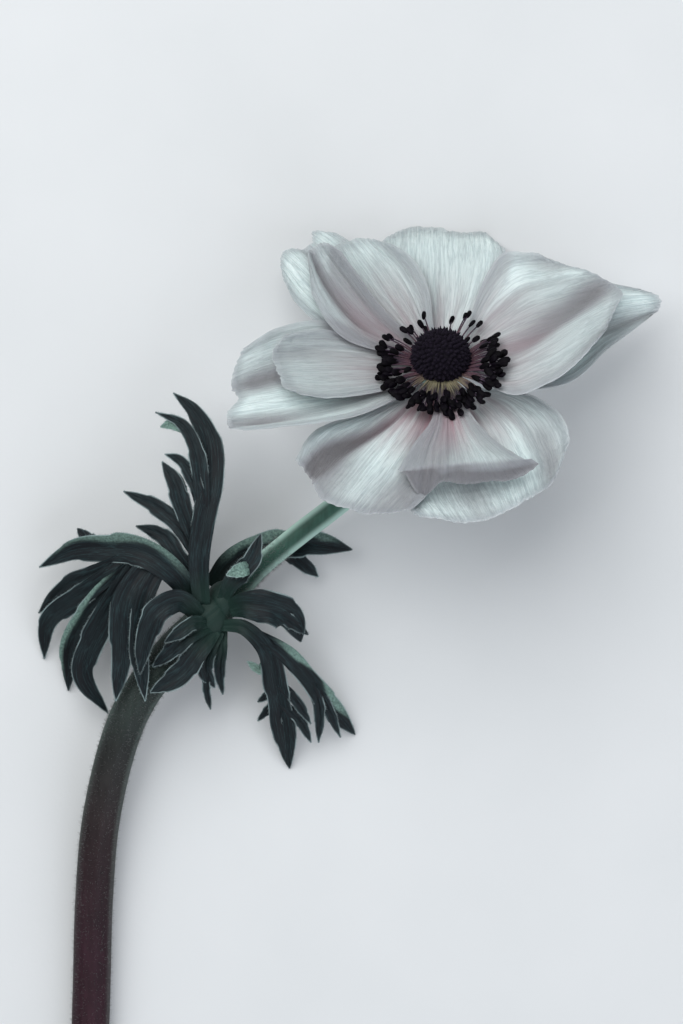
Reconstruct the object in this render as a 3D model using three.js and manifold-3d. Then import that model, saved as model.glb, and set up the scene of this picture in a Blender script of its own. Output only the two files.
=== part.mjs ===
// Cut anemone flower lying on its side of bloom: stem with bent flower stalk, three cut
// leaves in a collar, eleven petals in two layers, a ring of stamens and a carpel head.
// Millimetres, +Z up. Until the last step the origin stands on the table below the flower's
// centre, +X to the right and +Y to the back of the bloom.
import * as THREE from 'three'
import { mergeVertices } from 'three/addons/utils/BufferGeometryUtils.js'
import Module from 'manifold-3d'

const wasm = await Module()
wasm.setup()

// Driving dimensions, mm
const CENTRE_HEIGHT = 27 // middle of the carpel head over the table
const TILT_DEG = 40 // lean of the bloom's axis from upright, to the back
const PETAL_THICKNESS = 0.64
const PETAL_ROOT_RADIUS = 4.5 // distance of the petal roots from the whorls' axis
const PETAL_ROOT_HALF = 2.3 // half the width of a petal at its root
const WHORL_DROP = 1.6 // the whorls stand this far below the levels named at each petal
const WHORL_BACK = 1.34 // and this far to the back
const TABLE_CLEARANCE = 0.36 // middle surface of a blade pressed by the table
const TABLE_SOFTNESS = 1.5 // height over which the pressing fades
const PETAL_ROWS = 10
const PETAL_COLUMNS = 8
const HOOK_ROWS = 6

const RECEPTACLE_RADIUS = 4.15
const RECEPTACLE_TOP = -2.0
const RECEPTACLE_FOOT = -8.0

const HEAD_RADIUS = 6.1
const HEAD_FOOT = -0.3 // lower rim of the carpel head along the axis
const HEAD_RELIEF = 0.32 // knobs stand out this far
const HEAD_HOLLOW = 0.19 // and the furrows lie this deep
const HEAD_TOP_DEG = 80 // the last ring lies this high on the dome
const HEAD_SIDES = 26
const HEAD_RINGS = 9

const DISC_RADIUS = 5.5 // disc from which the stamens grow
const DISC_TOP = -0.9
const DISC_FOOT = -1.65
const DISC_SIDES = 20
const FILAMENT_SIDES = 3
const ANTHER_SIDES = 4
const STAMEN_COUNT = 54
const STAMEN_INNER = 8.6 // reach of the inmost anthers from the axis
const STAMEN_OUTER = 13.3
const STAMEN_SINK = 0.7 // how far a filament starts inside the disc, and enters its anther
const STAMEN_FRONT = 0.1 // the ring reaches this share further to the front
const STAMEN_RISE_DEG = 15 // slope of the outmost filaments at the sides
const STAMEN_RISE_BACK = 9 // more at the back, less at the front
const STAMEN_RISE_INNER = 14 // more for the inmost ones
const STAMEN_RISE_RIGHT = 9 // more where the inner right petal rolls up
const ROLLED_AZIMUTH_DEG = -15 // there
const ROLLED_SPREAD = 0.2
const FILAMENT_RADIUS = 0.27
const ANTHER_LENGTH = 2.3
const ANTHER_RADIUS = 0.7
const ANTHER_END_RADIUS = 0.3
const ANTHER_WIDEST = 0.45 // share of its length
const GOLDEN_TURN = Math.PI * (3 - Math.sqrt(5))

const SCAPE_RADIUS = 3.85
const PEDICEL_RADIUS = 2.25
const STEM_SIDES = 12
const CUT_SLANT = 0.35
const STRAIGHT_FOOT = 34 // length of the stem that lies flat on the table

const LEAF_THICKNESS = 0.7
const LEAF_KEEL_DEG = 16
const SHEATH_WALL = 0.9
const SHEATH_GAP = 0.35
const SHEATH_STEP_DEG = 20
const SLIVER = 0.01 // mm3

// Small helpers
const V = (x, y, z) => new THREE.Vector3(x, y, z)
const radians = THREE.MathUtils.degToRad
const clamp = THREE.MathUtils.clamp
const lerp = THREE.MathUtils.lerp

// Quadratic blend of a start, a middle and an end value that passes through all three.
const quad = (s, [a, m, b]) => {
  const c = 2 * m - (a + b) / 2
  return a * (1 - s) ** 2 + 2 * c * s * (1 - s) + b * s * s
}

// Smooth curve through (x, y) points: cubic pieces with the slopes of the neighbours.
const through = (xs, ys, x) => {
  const last = xs.length - 1
  const slope = (i) => {
    if (i === 0) return (ys[1] - ys[0]) / (xs[1] - xs[0])
    if (i === last) return (ys[last] - ys[last - 1]) / (xs[last] - xs[last - 1])
    const before = xs[i] - xs[i - 1]
    const after = xs[i + 1] - xs[i]
    const rise = (ys[i + 1] - ys[i]) / after
    const fall = (ys[i] - ys[i - 1]) / before
    return (before * rise + after * fall) / (before + after)
  }
  const at = clamp(x, xs[0], xs[last])
  let k = 0
  while (k < last - 1 && at >= xs[k + 1]) k += 1
  const h = xs[k + 1] - xs[k]
  const t = (at - xs[k]) / h
  return (2 * t ** 3 - 3 * t ** 2 + 1) * ys[k] + (t ** 3 - 2 * t ** 2 + t) * h * slope(k)
    + (-2 * t ** 3 + 3 * t ** 2) * ys[k + 1] + (t ** 3 - t ** 2) * h * slope(k + 1)
}

const solid = (positions, triangles) => new wasm.Manifold(new wasm.Mesh({
  numProp: 3,
  vertProperties: new Float32Array(positions.flatMap((p) => [p.x, p.y, p.z])),
  triVerts: new Uint32Array(triangles.flat()),
}))

const mesh = (name, shape, { color, roughness }) => {
  const { vertProperties, triVerts } = shape.getMesh()
  const geometry = new THREE.BufferGeometry()
  geometry.setAttribute('position', new THREE.BufferAttribute(new Float32Array(vertProperties), 3))
  geometry.setIndex(Array.from(triVerts))
  const item = new THREE.Mesh(geometry, new THREE.MeshStandardMaterial({ color, roughness, metalness: 0 }))
  item.name = name
  return item
}

const fuse = (shapes) => shapes.reduce((whole, shape) => whole.add(shape))

// Closed blade around a grid of points: both faces half the thickness off along the normal,
// split along the same diagonals, and a rim all round. The face on the normal's side is first.
const blade = (grid, thickness) => {
  const rows = grid.length
  const columns = grid[0].length
  const at = (i, j) => grid[clamp(i, 0, rows - 1)][clamp(j, 0, columns - 1)]
  const top = []
  const bottom = []
  for (let i = 0; i < rows; i += 1) {
    for (let j = 0; j < columns; j += 1) {
      const along = at(i + 1, j).clone().sub(at(i - 1, j))
      const across = at(i, j + 1).clone().sub(at(i, j - 1))
      const normal = along.cross(across).normalize().multiplyScalar(thickness / 2)
      top.push(at(i, j).clone().add(normal))
      bottom.push(at(i, j).clone().sub(normal))
    }
  }
  const shift = rows * columns
  const id = (i, j) => i * columns + j
  const triangles = []
  for (let i = 0; i < rows - 1; i += 1) {
    for (let j = 0; j < columns - 1; j += 1) {
      const [a, b, c, d] = [id(i, j), id(i + 1, j), id(i + 1, j + 1), id(i, j + 1)]
      triangles.push([a, b, c], [a, c, d])
      triangles.push([c + shift, b + shift, a + shift], [d + shift, c + shift, a + shift])
    }
  }
  const rim = (a, b) => triangles.push([b, a, a + shift], [b, a + shift, b + shift])
  for (let j = 0; j < columns - 1; j += 1) {
    rim(id(0, j + 1), id(0, j))
    rim(id(rows - 1, j), id(rows - 1, j + 1))
  }
  for (let i = 0; i < rows - 1; i += 1) {
    rim(id(i, 0), id(i + 1, 0))
    rim(id(i + 1, columns - 1), id(i, columns - 1))
  }
  return solid([...top, ...bottom], triangles)
}

// Closed skin over rings of points, each ring counter-clockwise seen from the last ring.
const skin = (rings) => {
  const sides = rings[0].length
  const positions = rings.flat()
  const triangles = []
  for (let i = 0; i < rings.length - 1; i += 1) {
    for (let k = 0; k < sides; k += 1) {
      const next = (k + 1) % sides
      const [a, b, c, d] = [i * sides + k, i * sides + next, (i + 1) * sides + next, (i + 1) * sides + k]
      triangles.push([a, b, c], [a, c, d])
    }
  }
  const cap = (ring, first, outward) => {
    const middle = ring.reduce((sum, p) => sum.add(p), V(0, 0, 0)).divideScalar(sides)
    positions.push(middle)
    for (let k = 0; k < sides; k += 1) {
      const [a, b] = [first + k, first + (k + 1) % sides]
      triangles.push(outward ? [a, b, positions.length - 1] : [b, a, positions.length - 1])
    }
  }
  cap(rings[0], 0, false)
  cap(rings[rings.length - 1], (rings.length - 1) * sides, true)
  return solid(positions, triangles)
}

// The bloom's leaning frame
const tilt = radians(TILT_DEG)
const AXIS_RIGHT = V(1, 0, 0)
const AXIS_BACK = V(0, Math.cos(tilt), -Math.sin(tilt))
const AXIS_UP = V(0, Math.sin(tilt), Math.cos(tilt))
const lean = (p) => AXIS_RIGHT.clone().multiplyScalar(p.x)
  .addScaledVector(AXIS_BACK, p.y)
  .addScaledVector(AXIS_UP, p.z)
  .add(V(0, 0, CENTRE_HEIGHT))

// A blade that would dip under the table is bent smoothly up to lie on it.
const press = (p) => {
  const low = TABLE_CLEARANCE - TABLE_SOFTNESS
  const high = TABLE_CLEARANCE + TABLE_SOFTNESS
  if (p.z >= high) return p
  const z = p.z < low ? TABLE_CLEARANCE : TABLE_CLEARANCE + (p.z - low) ** 2 / (4 * TABLE_SOFTNESS)
  return V(p.x, p.y, z)
}

// Petals. azimuth: direction in the bloom, counter-clockwise from the right. level: height of the
// root. left and right: half-widths at the STATIONS. edge: share of the length reached at
// even steps from the right margin to the left one. rise: slope at root, middle and tip.
// bend: turn to the left along the way. cup: how far each half is rolled up, in degrees.
// hook: shares of the way where the end starts and stops to turn down, and by how much.
const STATIONS = [0, 0.15, 0.4, 0.7, 1]
const PETALS = {
  petal_outer_right: {
    azimuth: 11, level: -3.8, length: 43, left: [8, 13, 11, 6], right: [9, 12.5, 7.6, 1.7],
    edge: [0.8, 0.86, 0.93, 0.98, 1, 0.96, 0.88], rise: [12, 6, -4], bend: 12, roll: [0, 10, 30], cup: [20, 20, 10],
  },
  petal_outer_back: {
    azimuth: 91, level: -4.6, length: 35.4, left: [6, 11, 13.5, 13], right: [6, 11.5, 14.5, 14.3],
    edge: [0.78, 0.94, 0.94, 0.98, 0.99, 0.94, 0.76], rise: [10, 2, -8], cup: [8, 10, 5],
  },
  petal_outer_back_left: {
    azimuth: 134, level: -3.8, length: 40, left: [6, 11.4, 12.2, 9.2], right: [5, 8.5, 8.5, 7.8],
    edge: [0.85, 0.95, 0.895, 0.93, 0.95, 0.9, 0.8], rise: [10, 8, 0], cup: [12, 20, 14],
  },
  petal_outer_left: {
    azimuth: 196.3, level: -2.9, length: 40, left: [7, 12.5, 12.8, 10], right: [8, 14, 14.5, 11.5],
    edge: [0.84, 0.91, 0.95, 0.94, 1.02, 1.03, 0.97], rise: [11, 5, 1], cup: [20, 30, 20],
  },
  petal_outer_front_left: {
    azimuth: 243, level: -3.8, length: 36.4, left: [6, 12, 14, 13], right: [3.5, 8, 13.2, 13],
    edge: [0.87, 0.9, 0.985, 0.985, 0.955, 0.89, 0.79], rise: [8, -3, -12], bend: -10, cup: [10, 10, 0],
  },
  petal_outer_front_right: {
    azimuth: 293, level: -5.3, length: 34.5, left: [11, 16.8, 17.3, 14.8], right: [8, 15, 20, 19],
    edge: [0.76, 0.875, 0.93, 0.915, 0.885, 0.83, 0.68], rise: [8, -5, -15], cup: [5, 4, 0],
  },
  petal_inner_right: {
    azimuth: 10, level: -1.1, length: 39, left: [11.5, 19.3, 17.6, 15.5], right: [14, 16.5, 12.5, 8.7],
    edge: [0.67, 0.75, 0.82, 0.89, 0.86, 0.74, 0.6], rise: [12, 17, 6], bend: 14, cup: [20, 25, 20],
  },
  petal_inner_back: {
    azimuth: 123, level: -2, length: 30.5, left: [5, 9.5, 11, 8], right: [4.3, 7.8, 9, 7.2],
    edge: [0.8, 0.91, 0.97, 1, 1, 0.95, 0.82], rise: [8, 12, 8], cup: [12, 20, 30],
  },
  petal_inner_back_left: {
    azimuth: 150, level: -1.1, length: 32, left: [5, 9.5, 9, 5], right: [2.5, 2.8, 3.6, 3.6],
    edge: [0.84, 0.93, 0.96, 0.96, 0.96, 0.93, 0.84], rise: [12, 24, 24], bend: -26, cup: [20, 20, 25],
  },
  petal_inner_left: {
    azimuth: 194, level: -2, length: 31, left: [5, 8, 10, 8.5], right: [5, 8.3, 9.7, 8.5],
    edge: [0.86, 0.95, 0.97, 0.97, 0.97, 0.97, 0.88], rise: [12, 14, 18], cup: [12, 28, 28],
  },
  petal_inner_front: {
    azimuth: 277, level: -1.4, length: 29.8, left: [2.6, 4, 7.8, 15.5], right: [2.5, 3.8, 8.5, 12.5],
    edge: [0.8, 1.06, 0.97, 1, 1, 1, 0.93], rise: [10, 8, 5], cup: [20, 0, -10], hook: [0.8, 0.92, 62],
  },
}

const MIDRIB_STEPS = 60

// Midrib of a petal: its points with the sideways and upward directions at each.
const midrib = (p) => {
  const start = radians(p.azimuth)
  const length = p.length / MIDRIB_STEPS
  const point = V(
    PETAL_ROOT_RADIUS * Math.cos(start),
    PETAL_ROOT_RADIUS * Math.sin(start) + WHORL_BACK,
    p.level - WHORL_DROP,
  )
  const ribs = []
  let before = null
  for (let i = 0; i <= MIDRIB_STEPS; i += 1) {
    const s = i / MIDRIB_STEPS
    let rise = radians(quad(s, p.rise))
    if (p.hook) {
      const [from, to, turn] = p.hook
      const t = clamp((s - from) / (to - from), 0, 1)
      rise -= radians(turn) * t * t * (3 - 2 * t)
    }
    const head = start + radians(p.bend ?? 0) * s
    const way = V(Math.cos(rise) * Math.cos(head), Math.cos(rise) * Math.sin(head), Math.sin(rise))
    if (before) point.addScaledVector(before.clone().add(way), length / 2)
    const flat = V(-Math.sin(head), Math.cos(head), 0)
    const raised = way.clone().cross(flat)
    const roll = radians(quad(s, p.roll ?? [0, 0, 0]))
    const side = flat.clone().multiplyScalar(Math.cos(roll)).addScaledVector(raised, Math.sin(roll))
    const up = flat.clone().multiplyScalar(-Math.sin(roll)).addScaledVector(raised, Math.cos(roll))
    ribs.push({ point: point.clone(), side, up })
    before = way
  }
  return ribs
}

const petal = (p) => {
  const ribs = midrib(p)
  const shares = p.edge.map((_, i) => -1 + (2 * i) / (p.edge.length - 1))
  const rows = Array.from({ length: PETAL_ROWS + 1 }, (_, i) => i / PETAL_ROWS)
  if (p.hook) {
    const plain = PETAL_ROWS - HOOK_ROWS / 2
    rows.length = 0
    for (let i = 0; i <= plain; i += 1) rows.push((p.hook[0] * i) / plain)
    for (let i = 1; i <= HOOK_ROWS; i += 1) rows.push(lerp(p.hook[0], 1, i / HOOK_ROWS))
  }
  const grid = rows.map((s) => {
    const row = []
    for (let j = 0; j <= PETAL_COLUMNS; j += 1) {
      const v = -1 + (2 * j) / PETAL_COLUMNS
      const reach = through(shares, p.edge, v)
      const along = clamp(s * (1 - (1 - reach) * s ** 1.5), 0, 1.2) * MIDRIB_STEPS
      const k = clamp(Math.floor(along), 0, MIDRIB_STEPS - 1)
      const t = along - k
      const rib = ['point', 'side', 'up'].map((part) => ribs[k][part].clone().lerp(ribs[k + 1][part], t))
      const half = through(STATIONS, [PETAL_ROOT_HALF, ...(v > 0 ? p.left : p.right)], s)
      const curl = radians(quad(s, p.cup)) || 1e-3
      const aside = (half * Math.sin(curl * v)) / curl
      const lift = (half * (1 - Math.cos(curl * v))) / curl
      row.push(press(lean(rib[0].addScaledVector(rib[1], aside).addScaledVector(rib[2], lift))))
    }
    return row
  })
  return blade(grid, PETAL_THICKNESS)
}

// Stem: scape from the cut end, the leaves' collar, the bent flower stalk and the receptacle.
const HUB = V(-45.5, -51, 12.8) // where the leaves grow
const HUB_WAY = V(0.78, 0.62, 0).normalize() // the stem's way there
const FOOT_HEIGHT = SCAPE_RADIUS * Math.cos(Math.PI / STEM_SIDES)
const axisPoint = (h) => lean(V(0, WHORL_BACK, h))
// Points of the stem's middle line with the radius at each.
const STEM_STATIONS = [
  [V(-71.5, -180, FOOT_HEIGHT), SCAPE_RADIUS],
  [V(-71.5, -180 + STRAIGHT_FOOT / 2, FOOT_HEIGHT), SCAPE_RADIUS],
  [V(-71.5, -180 + STRAIGHT_FOOT, FOOT_HEIGHT), SCAPE_RADIUS],
  [V(-71, -127, 4.1), SCAPE_RADIUS],
  [V(-70.5, -110, 5), SCAPE_RADIUS],
  [V(-69, -93.5, 6.7), SCAPE_RADIUS],
  [V(-65, -77, 9), SCAPE_RADIUS],
  [V(-61.5, -69, 10.2), SCAPE_RADIUS],
  [V(-56.5, -62, 11.4), SCAPE_RADIUS],
  [V(-51, -56, 12.3), SCAPE_RADIUS],
  [HUB, 3.5],
  [V(-41, -46.2, 12.9), 2.8],
  [V(-36, -41.4, 12.8), PEDICEL_RADIUS],
  [V(-28.2, -35, 12.6), PEDICEL_RADIUS],
  [V(-20.4, -29, 12.4), PEDICEL_RADIUS],
  [V(-12, -21.6, 12.2), PEDICEL_RADIUS],
  [V(-4.8, -14.4, 12.9), PEDICEL_RADIUS],
  [V(-1, -8.6, 15), 2.5],
  [axisPoint(RECEPTACLE_FOOT), 3.4],
  [axisPoint(RECEPTACLE_FOOT + 1.2), RECEPTACLE_RADIUS],
  [axisPoint((RECEPTACLE_FOOT + RECEPTACLE_TOP) / 2), RECEPTACLE_RADIUS],
  [axisPoint(RECEPTACLE_TOP), RECEPTACLE_RADIUS - 0.3],
]
const STEM_SUBDIVISION = 2

// Ring of a polygon with one flat side down, square to the way.
const stemRing = (centre, way, radius, slant) => {
  const side = V(0, 0, 1).cross(way)
  if (side.length() < 0.2) side.set(1, 0, 0)
  side.normalize()
  const up = way.clone().cross(side)
  return Array.from({ length: STEM_SIDES }, (_, k) => {
    const turn = (2 * Math.PI * (k + 0.5)) / STEM_SIDES - Math.PI / 2
    return centre.clone()
      .addScaledVector(side, -radius * Math.cos(turn))
      .addScaledVector(up, radius * Math.sin(turn))
      .addScaledVector(way, -slant * radius * Math.sin(turn))
  })
}

const stem = () => {
  const curve = new THREE.CatmullRomCurve3(STEM_STATIONS.map(([p]) => p), false, 'centripetal')
  const last = STEM_STATIONS.length - 1
  const rings = []
  for (let i = 0; i <= last * STEM_SUBDIVISION; i += 1) {
    const station = i / STEM_SUBDIVISION
    const k = Math.min(Math.floor(station), last - 1)
    const radius = lerp(STEM_STATIONS[k][1], STEM_STATIONS[k + 1][1], station - k)
    const straight = station <= 2
    if (straight && station > 0 && station < 2) continue
    const centre = straight ? STEM_STATIONS[station][0].clone() : curve.getPoint(station / last)
    const way = straight ? V(0, 1, 0) : curve.getTangent(station / last)
    rings.push(stemRing(centre, way, radius, i === 0 ? CUT_SLANT : 0).reverse())
  }
  return skin(rings)
}

// Leaves of the collar. Every lobe: half-width, share of the way where it is widest, share of that width at its
// root, and its rib. Lobes start inside the wall of their leaf's sheath or inside another lobe.
const LEAVES = {
  leaf_left: {
    sheath: { turns: [8, 130], ways: [-3.4, 0.6], radius: 3.95 },
    lobes: [
      [2.5, 0.62, 0.7, [[-48, -49.5, 16.5], [-48.5, -40.5, 20], [-47.5, -32.5, 21], [-46, -24.5, 20.5], [-46.5, -16, 18], [-49.5, -10.5, 15], [-54, -6.5, 12]]],
      [1.7, 0.4, 0.5, [[-47.5, -33.5, 21], [-48, -24.5, 21], [-49.5, -17, 20], [-52, -13, 18], [-57.5, -10.5, 15]]],
      [1.1, 0.5, 0.5, [[-51, -14.5, 18.8], [-54, -13, 16.5], [-56.5, -13.5, 15]]],
      [1.5, 0.5, 0.5, [[-47.5, -32.5, 21], [-49, -25.5, 21], [-52, -20.5, 20], [-55.5, -19, 18]]],
      [1.9, 0.6, 0.5, [[-48.3, -38.5, 20.3], [-51.5, -30.5, 20.5], [-53.5, -24.5, 20], [-56, -20.5, 18.5]]],
      [1.1, 0.5, 0.6, [[-51.3, -30.5, 20.5], [-52.5, -24.5, 19.5], [-54.5, -22, 18]]],
      [1.8, 0.5, 0.5, [[-48.5, -40.5, 20], [-52.5, -33.5, 19], [-57.5, -29.5, 17], [-64, -26.5, 14]]],
      [1.9, 0.5, 0.5, [[-48.1, -46.5, 17.8], [-52.5, -40, 18.5], [-56, -35.5, 17], [-61.5, -33.5, 14]]],
      [3, 0.5, 0.6, [[-49.5, -49.2, 15], [-53.5, -43, 20], [-59.5, -39, 20], [-66.5, -38, 16.5], [-74, -38.5, 12], [-81.5, -42, 8]]],
      [1.6, 0.4, 0.8, [[-67.5, -38, 15.9], [-71, -36, 14], [-73.5, -34, 12]]],
      [1.9, 0.5, 0.5, [[-62, -39, 18.9], [-68.5, -42.5, 16], [-76, -46, 10], [-82, -51.5, 3]]],
      [2.3, 0.5, 0.5, [[-61.5, -39.5, 19.1], [-71, -46.5, 14], [-79.6, -53, 7], [-81, -61, 0.4]]],
      [2.4, 0.55, 0.5, [[-61, -40, 19.4], [-70, -49.5, 13.5], [-75, -58, 7], [-76, -67.5, 0.4]]],
      [2.7, 0.5, 0.5, [[-60, -39.5, 19.8], [-68.5, -53.5, 14], [-72.5, -63.5, 9], [-67.5, -72, 5]]],
      [2.6, 0.5, 0.6, [[-58.5, -40, 20], [-63.5, -48.5, 20], [-64, -58.5, 17.5], [-65.5, -69, 15]]],
      [2.2, 0.5, 0.6, [[-56, -41, 20.5], [-59.5, -48.5, 20.5], [-60.5, -58.5, 18], [-59.5, -69, 15.3]]],
      [2.2, 0.45, 0.6, [[-48.2, -51.7, 17.1], [-52.5, -48.5, 21], [-57, -51, 22.5], [-59.5, -57.5, 20.5], [-60.5, -63.5, 18.5]]],
    ],
  },
  leaf_right: {
    sheath: { turns: [-48, 176], ways: [1.2, 4.6], radius: 3.5 },
    lobes: [
      [2.9, 0.6, 0.9, [[-45.6, -46.4, 8.2], [-42, -41, 7.9], [-35, -37.7, 8], [-28, -37, 8], [-22.5, -37.4, 7.6], [-17.6, -38.4, 7]]],
      [1.7, 0.5, 0.5, [[-34, -37.8, 7.9], [-30, -39.5, 6.5], [-24.5, -44, 4.5]]],
      [2, 0.5, 0.6, [[-43.8, -48.5, 16.9], [-42, -45, 19], [-38, -40.5, 20.5], [-36, -35, 20]]],
      [1.5, 0.4, 0.8, [[-38.4, -40.9, 20.3], [-39.5, -42.2, 21.7], [-41.6, -43.2, 21.5]]],
      [3.4, 0.5, 0.5, [[-42.4, -50.2, 16.8], [-39, -49.4, 19.6], [-34, -50, 20.5], [-30, -52, 18.5], [-28, -57, 16]]],
      [1.4, 0.4, 0.7, [[-33.4, -50.4, 20.1], [-29, -53.5, 18], [-26.5, -55.5, 16.5]]],
    ],
  },
  leaf_front: {
    sheath: { turns: [-130, -6], ways: [-3.4, 0.6], radius: 3.95 },
    lobes: [
      [2.5, 0.7, 0.45, [[-44.1, -53.6, 16], [-39.5, -54, 18.4], [-35, -58.5, 17.2], [-33, -67, 12], [-31.5, -75.5, 6], [-30.5, -83.5, 0.4]]],
      [1, 0.5, 0.7, [[-34.8, -59.2, 16.9], [-35.5, -63, 14.5], [-39, -61, 12]]],
      [0.9, 0.5, 0.7, [[-33.2, -65, 13.2], [-34.5, -67.5, 11], [-37, -69.5, 8]]],
      [0.9, 0.5, 0.7, [[-32.8, -68, 11.3], [-34, -70, 9], [-37, -73.5, 5.5]]],
      [0.9, 0.5, 0.7, [[-32.6, -69.5, 10.3], [-33, -73.5, 7.5], [-33.5, -77.5, 4]]],
      [1.1, 0.5, 0.7, [[-33, -65, 13.3], [-29.5, -68.5, 11], [-26, -74, 8]]],
      [1.1, 0.5, 0.7, [[-32.6, -69, 10.7], [-28.5, -73, 8], [-26, -78, 4]]],
      [2.2, 0.7, 0.5, [[-39, -54.4, 18.2], [-32, -58.5, 16.8], [-26.5, -64.5, 11.5], [-22, -70.5, 6], [-17, -76.5, 0.4]]],
      [1.2, 0.5, 0.7, [[-26.4, -64.6, 11.4], [-23, -70, 7], [-20, -77, 3.5]]],
      [1.2, 0.5, 0.7, [[-27, -64, 11.9], [-24.5, -70, 8], [-24.5, -78, 4]]],
      [1.9, 0.5, 0.5, [[-46, -53.8, 16.5], [-50.5, -55.5, 19], [-54.5, -59, 18], [-58, -62, 16.6]]],
      [2.4, 0.55, 0.5, [[-45.1, -54.5, 16.1], [-48.5, -58.5, 17.8], [-52.5, -63.5, 17], [-58.5, -67.2, 15.8]]],
      [1.7, 0.55, 0.5, [[-44.2, -54.8, 15.5], [-46.5, -58.5, 16], [-47.5, -62.5, 14], [-45.5, -66.5, 11]]],
      [0.8, 0.5, 0.8, [[-47.4, -61.5, 14.5], [-47.2, -67, 11.5], [-46.5, -71, 8.5]]],
      [1.2, 0.5, 0.6, [[-43.6, -54.6, 15], [-44, -58.5, 14.5], [-44.6, -63, 11.5], [-44, -68, 8]]],
      [1.5, 0.5, 0.6, [[-46.8, -53.1, 17], [-49.5, -53, 19.8], [-52.5, -55, 20.6], [-55.5, -57, 20]]],
    ],
  },
}
const LOBE_TIP_HALF = 0.25

// Half-width of a lobe: it swells from its root to the widest place and closes in a point.
const lobeHalf = (s, widest, place, root) => {
  if (s < place) return widest * (root + (1 - root) * Math.sin((Math.PI / 2) * (s / place)))
  const t = (s - place) / (1 - place)
  return Math.max(LOBE_TIP_HALF, widest * (1 - t ** 1.9) ** 0.85)
}

const lobe = ([widest, place, root, points]) => {
  const curve = new THREE.CatmullRomCurve3(points.map((p) => V(...p)), false, 'centripetal')
  const steps = points.length > 3 ? points.length + 1 : 3
  const keel = Math.tan(radians(LEAF_KEEL_DEG))
  const grid = []
  for (let i = 0; i <= steps; i += 1) {
    const s = i / steps
    const centre = curve.getPointAt(s)
    const side = V(0, 0, 1).cross(curve.getTangentAt(s)).normalize()
    const half = lobeHalf(s, widest, place, root)
    grid.push([-1, 0, 1].map((v) => {
      const p = centre.clone().addScaledVector(side, half * v)
      p.z = Math.max(p.z + half * Math.abs(v) * keel, TABLE_CLEARANCE)
      return p
    }))
  }
  return blade(grid, LEAF_THICKNESS)
}

// Part of a tube that clasps the stem: turns are degrees from straight up to the left side.
const sheath = ({ turns, ways, radius }) => {
  const way = HUB_WAY
  const left = V(0, 0, 1).cross(way)
  const steps = Math.ceil((turns[1] - turns[0]) / SHEATH_STEP_DEG)
  const middle = radius + SHEATH_GAP + SHEATH_WALL / 2
  const grid = [0, 1].map((i) => Array.from({ length: steps + 1 }, (_, k) => {
    const turn = radians(lerp(turns[0], turns[1], k / steps))
    return HUB.clone()
      .addScaledVector(way, ways[i])
      .addScaledVector(left, middle * Math.sin(turn))
      .add(V(0, 0, middle * Math.cos(turn)))
  }))
  return blade(grid, SHEATH_WALL)
}

// A leaf is one body: slivers left where lobes cross are dropped, a loose lobe is an error.
const leaf = ({ sheath: clasp, lobes }) => {
  const bodies = fuse([sheath(clasp), ...lobes.map(lobe)]).decompose()
  bodies.sort((a, b) => b.volume() - a.volume())
  if (bodies.length > 1 && bodies[1].volume() > SLIVER) throw new Error('a lobe is loose')
  return bodies[0]
}

// Stamens and carpel head
const ring = (centre, side, up, radius, sides) => Array.from({ length: sides }, (_, k) => {
  const turn = (2 * Math.PI * k) / sides
  return centre.clone()
    .addScaledVector(side, radius * Math.cos(turn))
    .addScaledVector(up, radius * Math.sin(turn))
})

const rod = (from, to, profile, sides) => {
  const way = to.clone().sub(from).normalize()
  const side = V(0, 0, 1).cross(way).normalize()
  const up = way.clone().cross(side)
  return skin(profile.map(([share, radius]) => ring(from.clone().lerp(to, share), side, up, radius, sides)))
}

// Bump of height one around the direction where the inner right petal rolls up.
const nearRight = (azimuth) => Math.exp(-(((1 - Math.cos(azimuth - radians(ROLLED_AZIMUTH_DEG))) / ROLLED_SPREAD) ** 2))

const stamens = () => {
  const disc = skin([
    [DISC_FOOT, DISC_RADIUS - 0.3], [(DISC_FOOT + DISC_TOP) / 2, DISC_RADIUS], [DISC_TOP, DISC_RADIUS - 0.4],
  ].map(([h, r]) => ring(V(0, 0, h), V(1, 0, 0), V(0, 1, 0), r, DISC_SIDES)))
  const shapes = [disc]
  for (let i = 0; i < STAMEN_COUNT; i += 1) {
    const azimuth = i * GOLDEN_TURN
    const share = Math.sqrt((i + 0.5) / STAMEN_COUNT)
    const reach = lerp(STAMEN_INNER, STAMEN_OUTER, share) * (1 - STAMEN_FRONT * Math.sin(azimuth))
    const rise = radians(STAMEN_RISE_DEG + STAMEN_RISE_BACK * Math.sin(azimuth)
      + STAMEN_RISE_INNER * (1 - share) + STAMEN_RISE_RIGHT * nearRight(azimuth))
    const out = V(Math.cos(azimuth), Math.sin(azimuth), 0)
    const way = out.clone().multiplyScalar(Math.cos(rise)).add(V(0, 0, Math.sin(rise)))
    const from = out.clone().multiplyScalar(DISC_RADIUS - STAMEN_SINK).add(V(0, 0, (DISC_FOOT + DISC_TOP) / 2))
    const to = from.clone().addScaledVector(way, (reach - DISC_RADIUS + STAMEN_SINK) / Math.cos(rise))
    const anther = to.clone().addScaledVector(way, -ANTHER_LENGTH)
    const joint = anther.clone().addScaledVector(way, STAMEN_SINK)
    shapes.push(rod(from, joint, [[0, FILAMENT_RADIUS], [1, FILAMENT_RADIUS]], FILAMENT_SIDES))
    const spindle = [[0, ANTHER_END_RADIUS], [ANTHER_WIDEST, ANTHER_RADIUS], [1, ANTHER_END_RADIUS]]
    shapes.push(rod(anther, to, spindle, ANTHER_SIDES))
  }
  return fuse(shapes)
}

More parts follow.
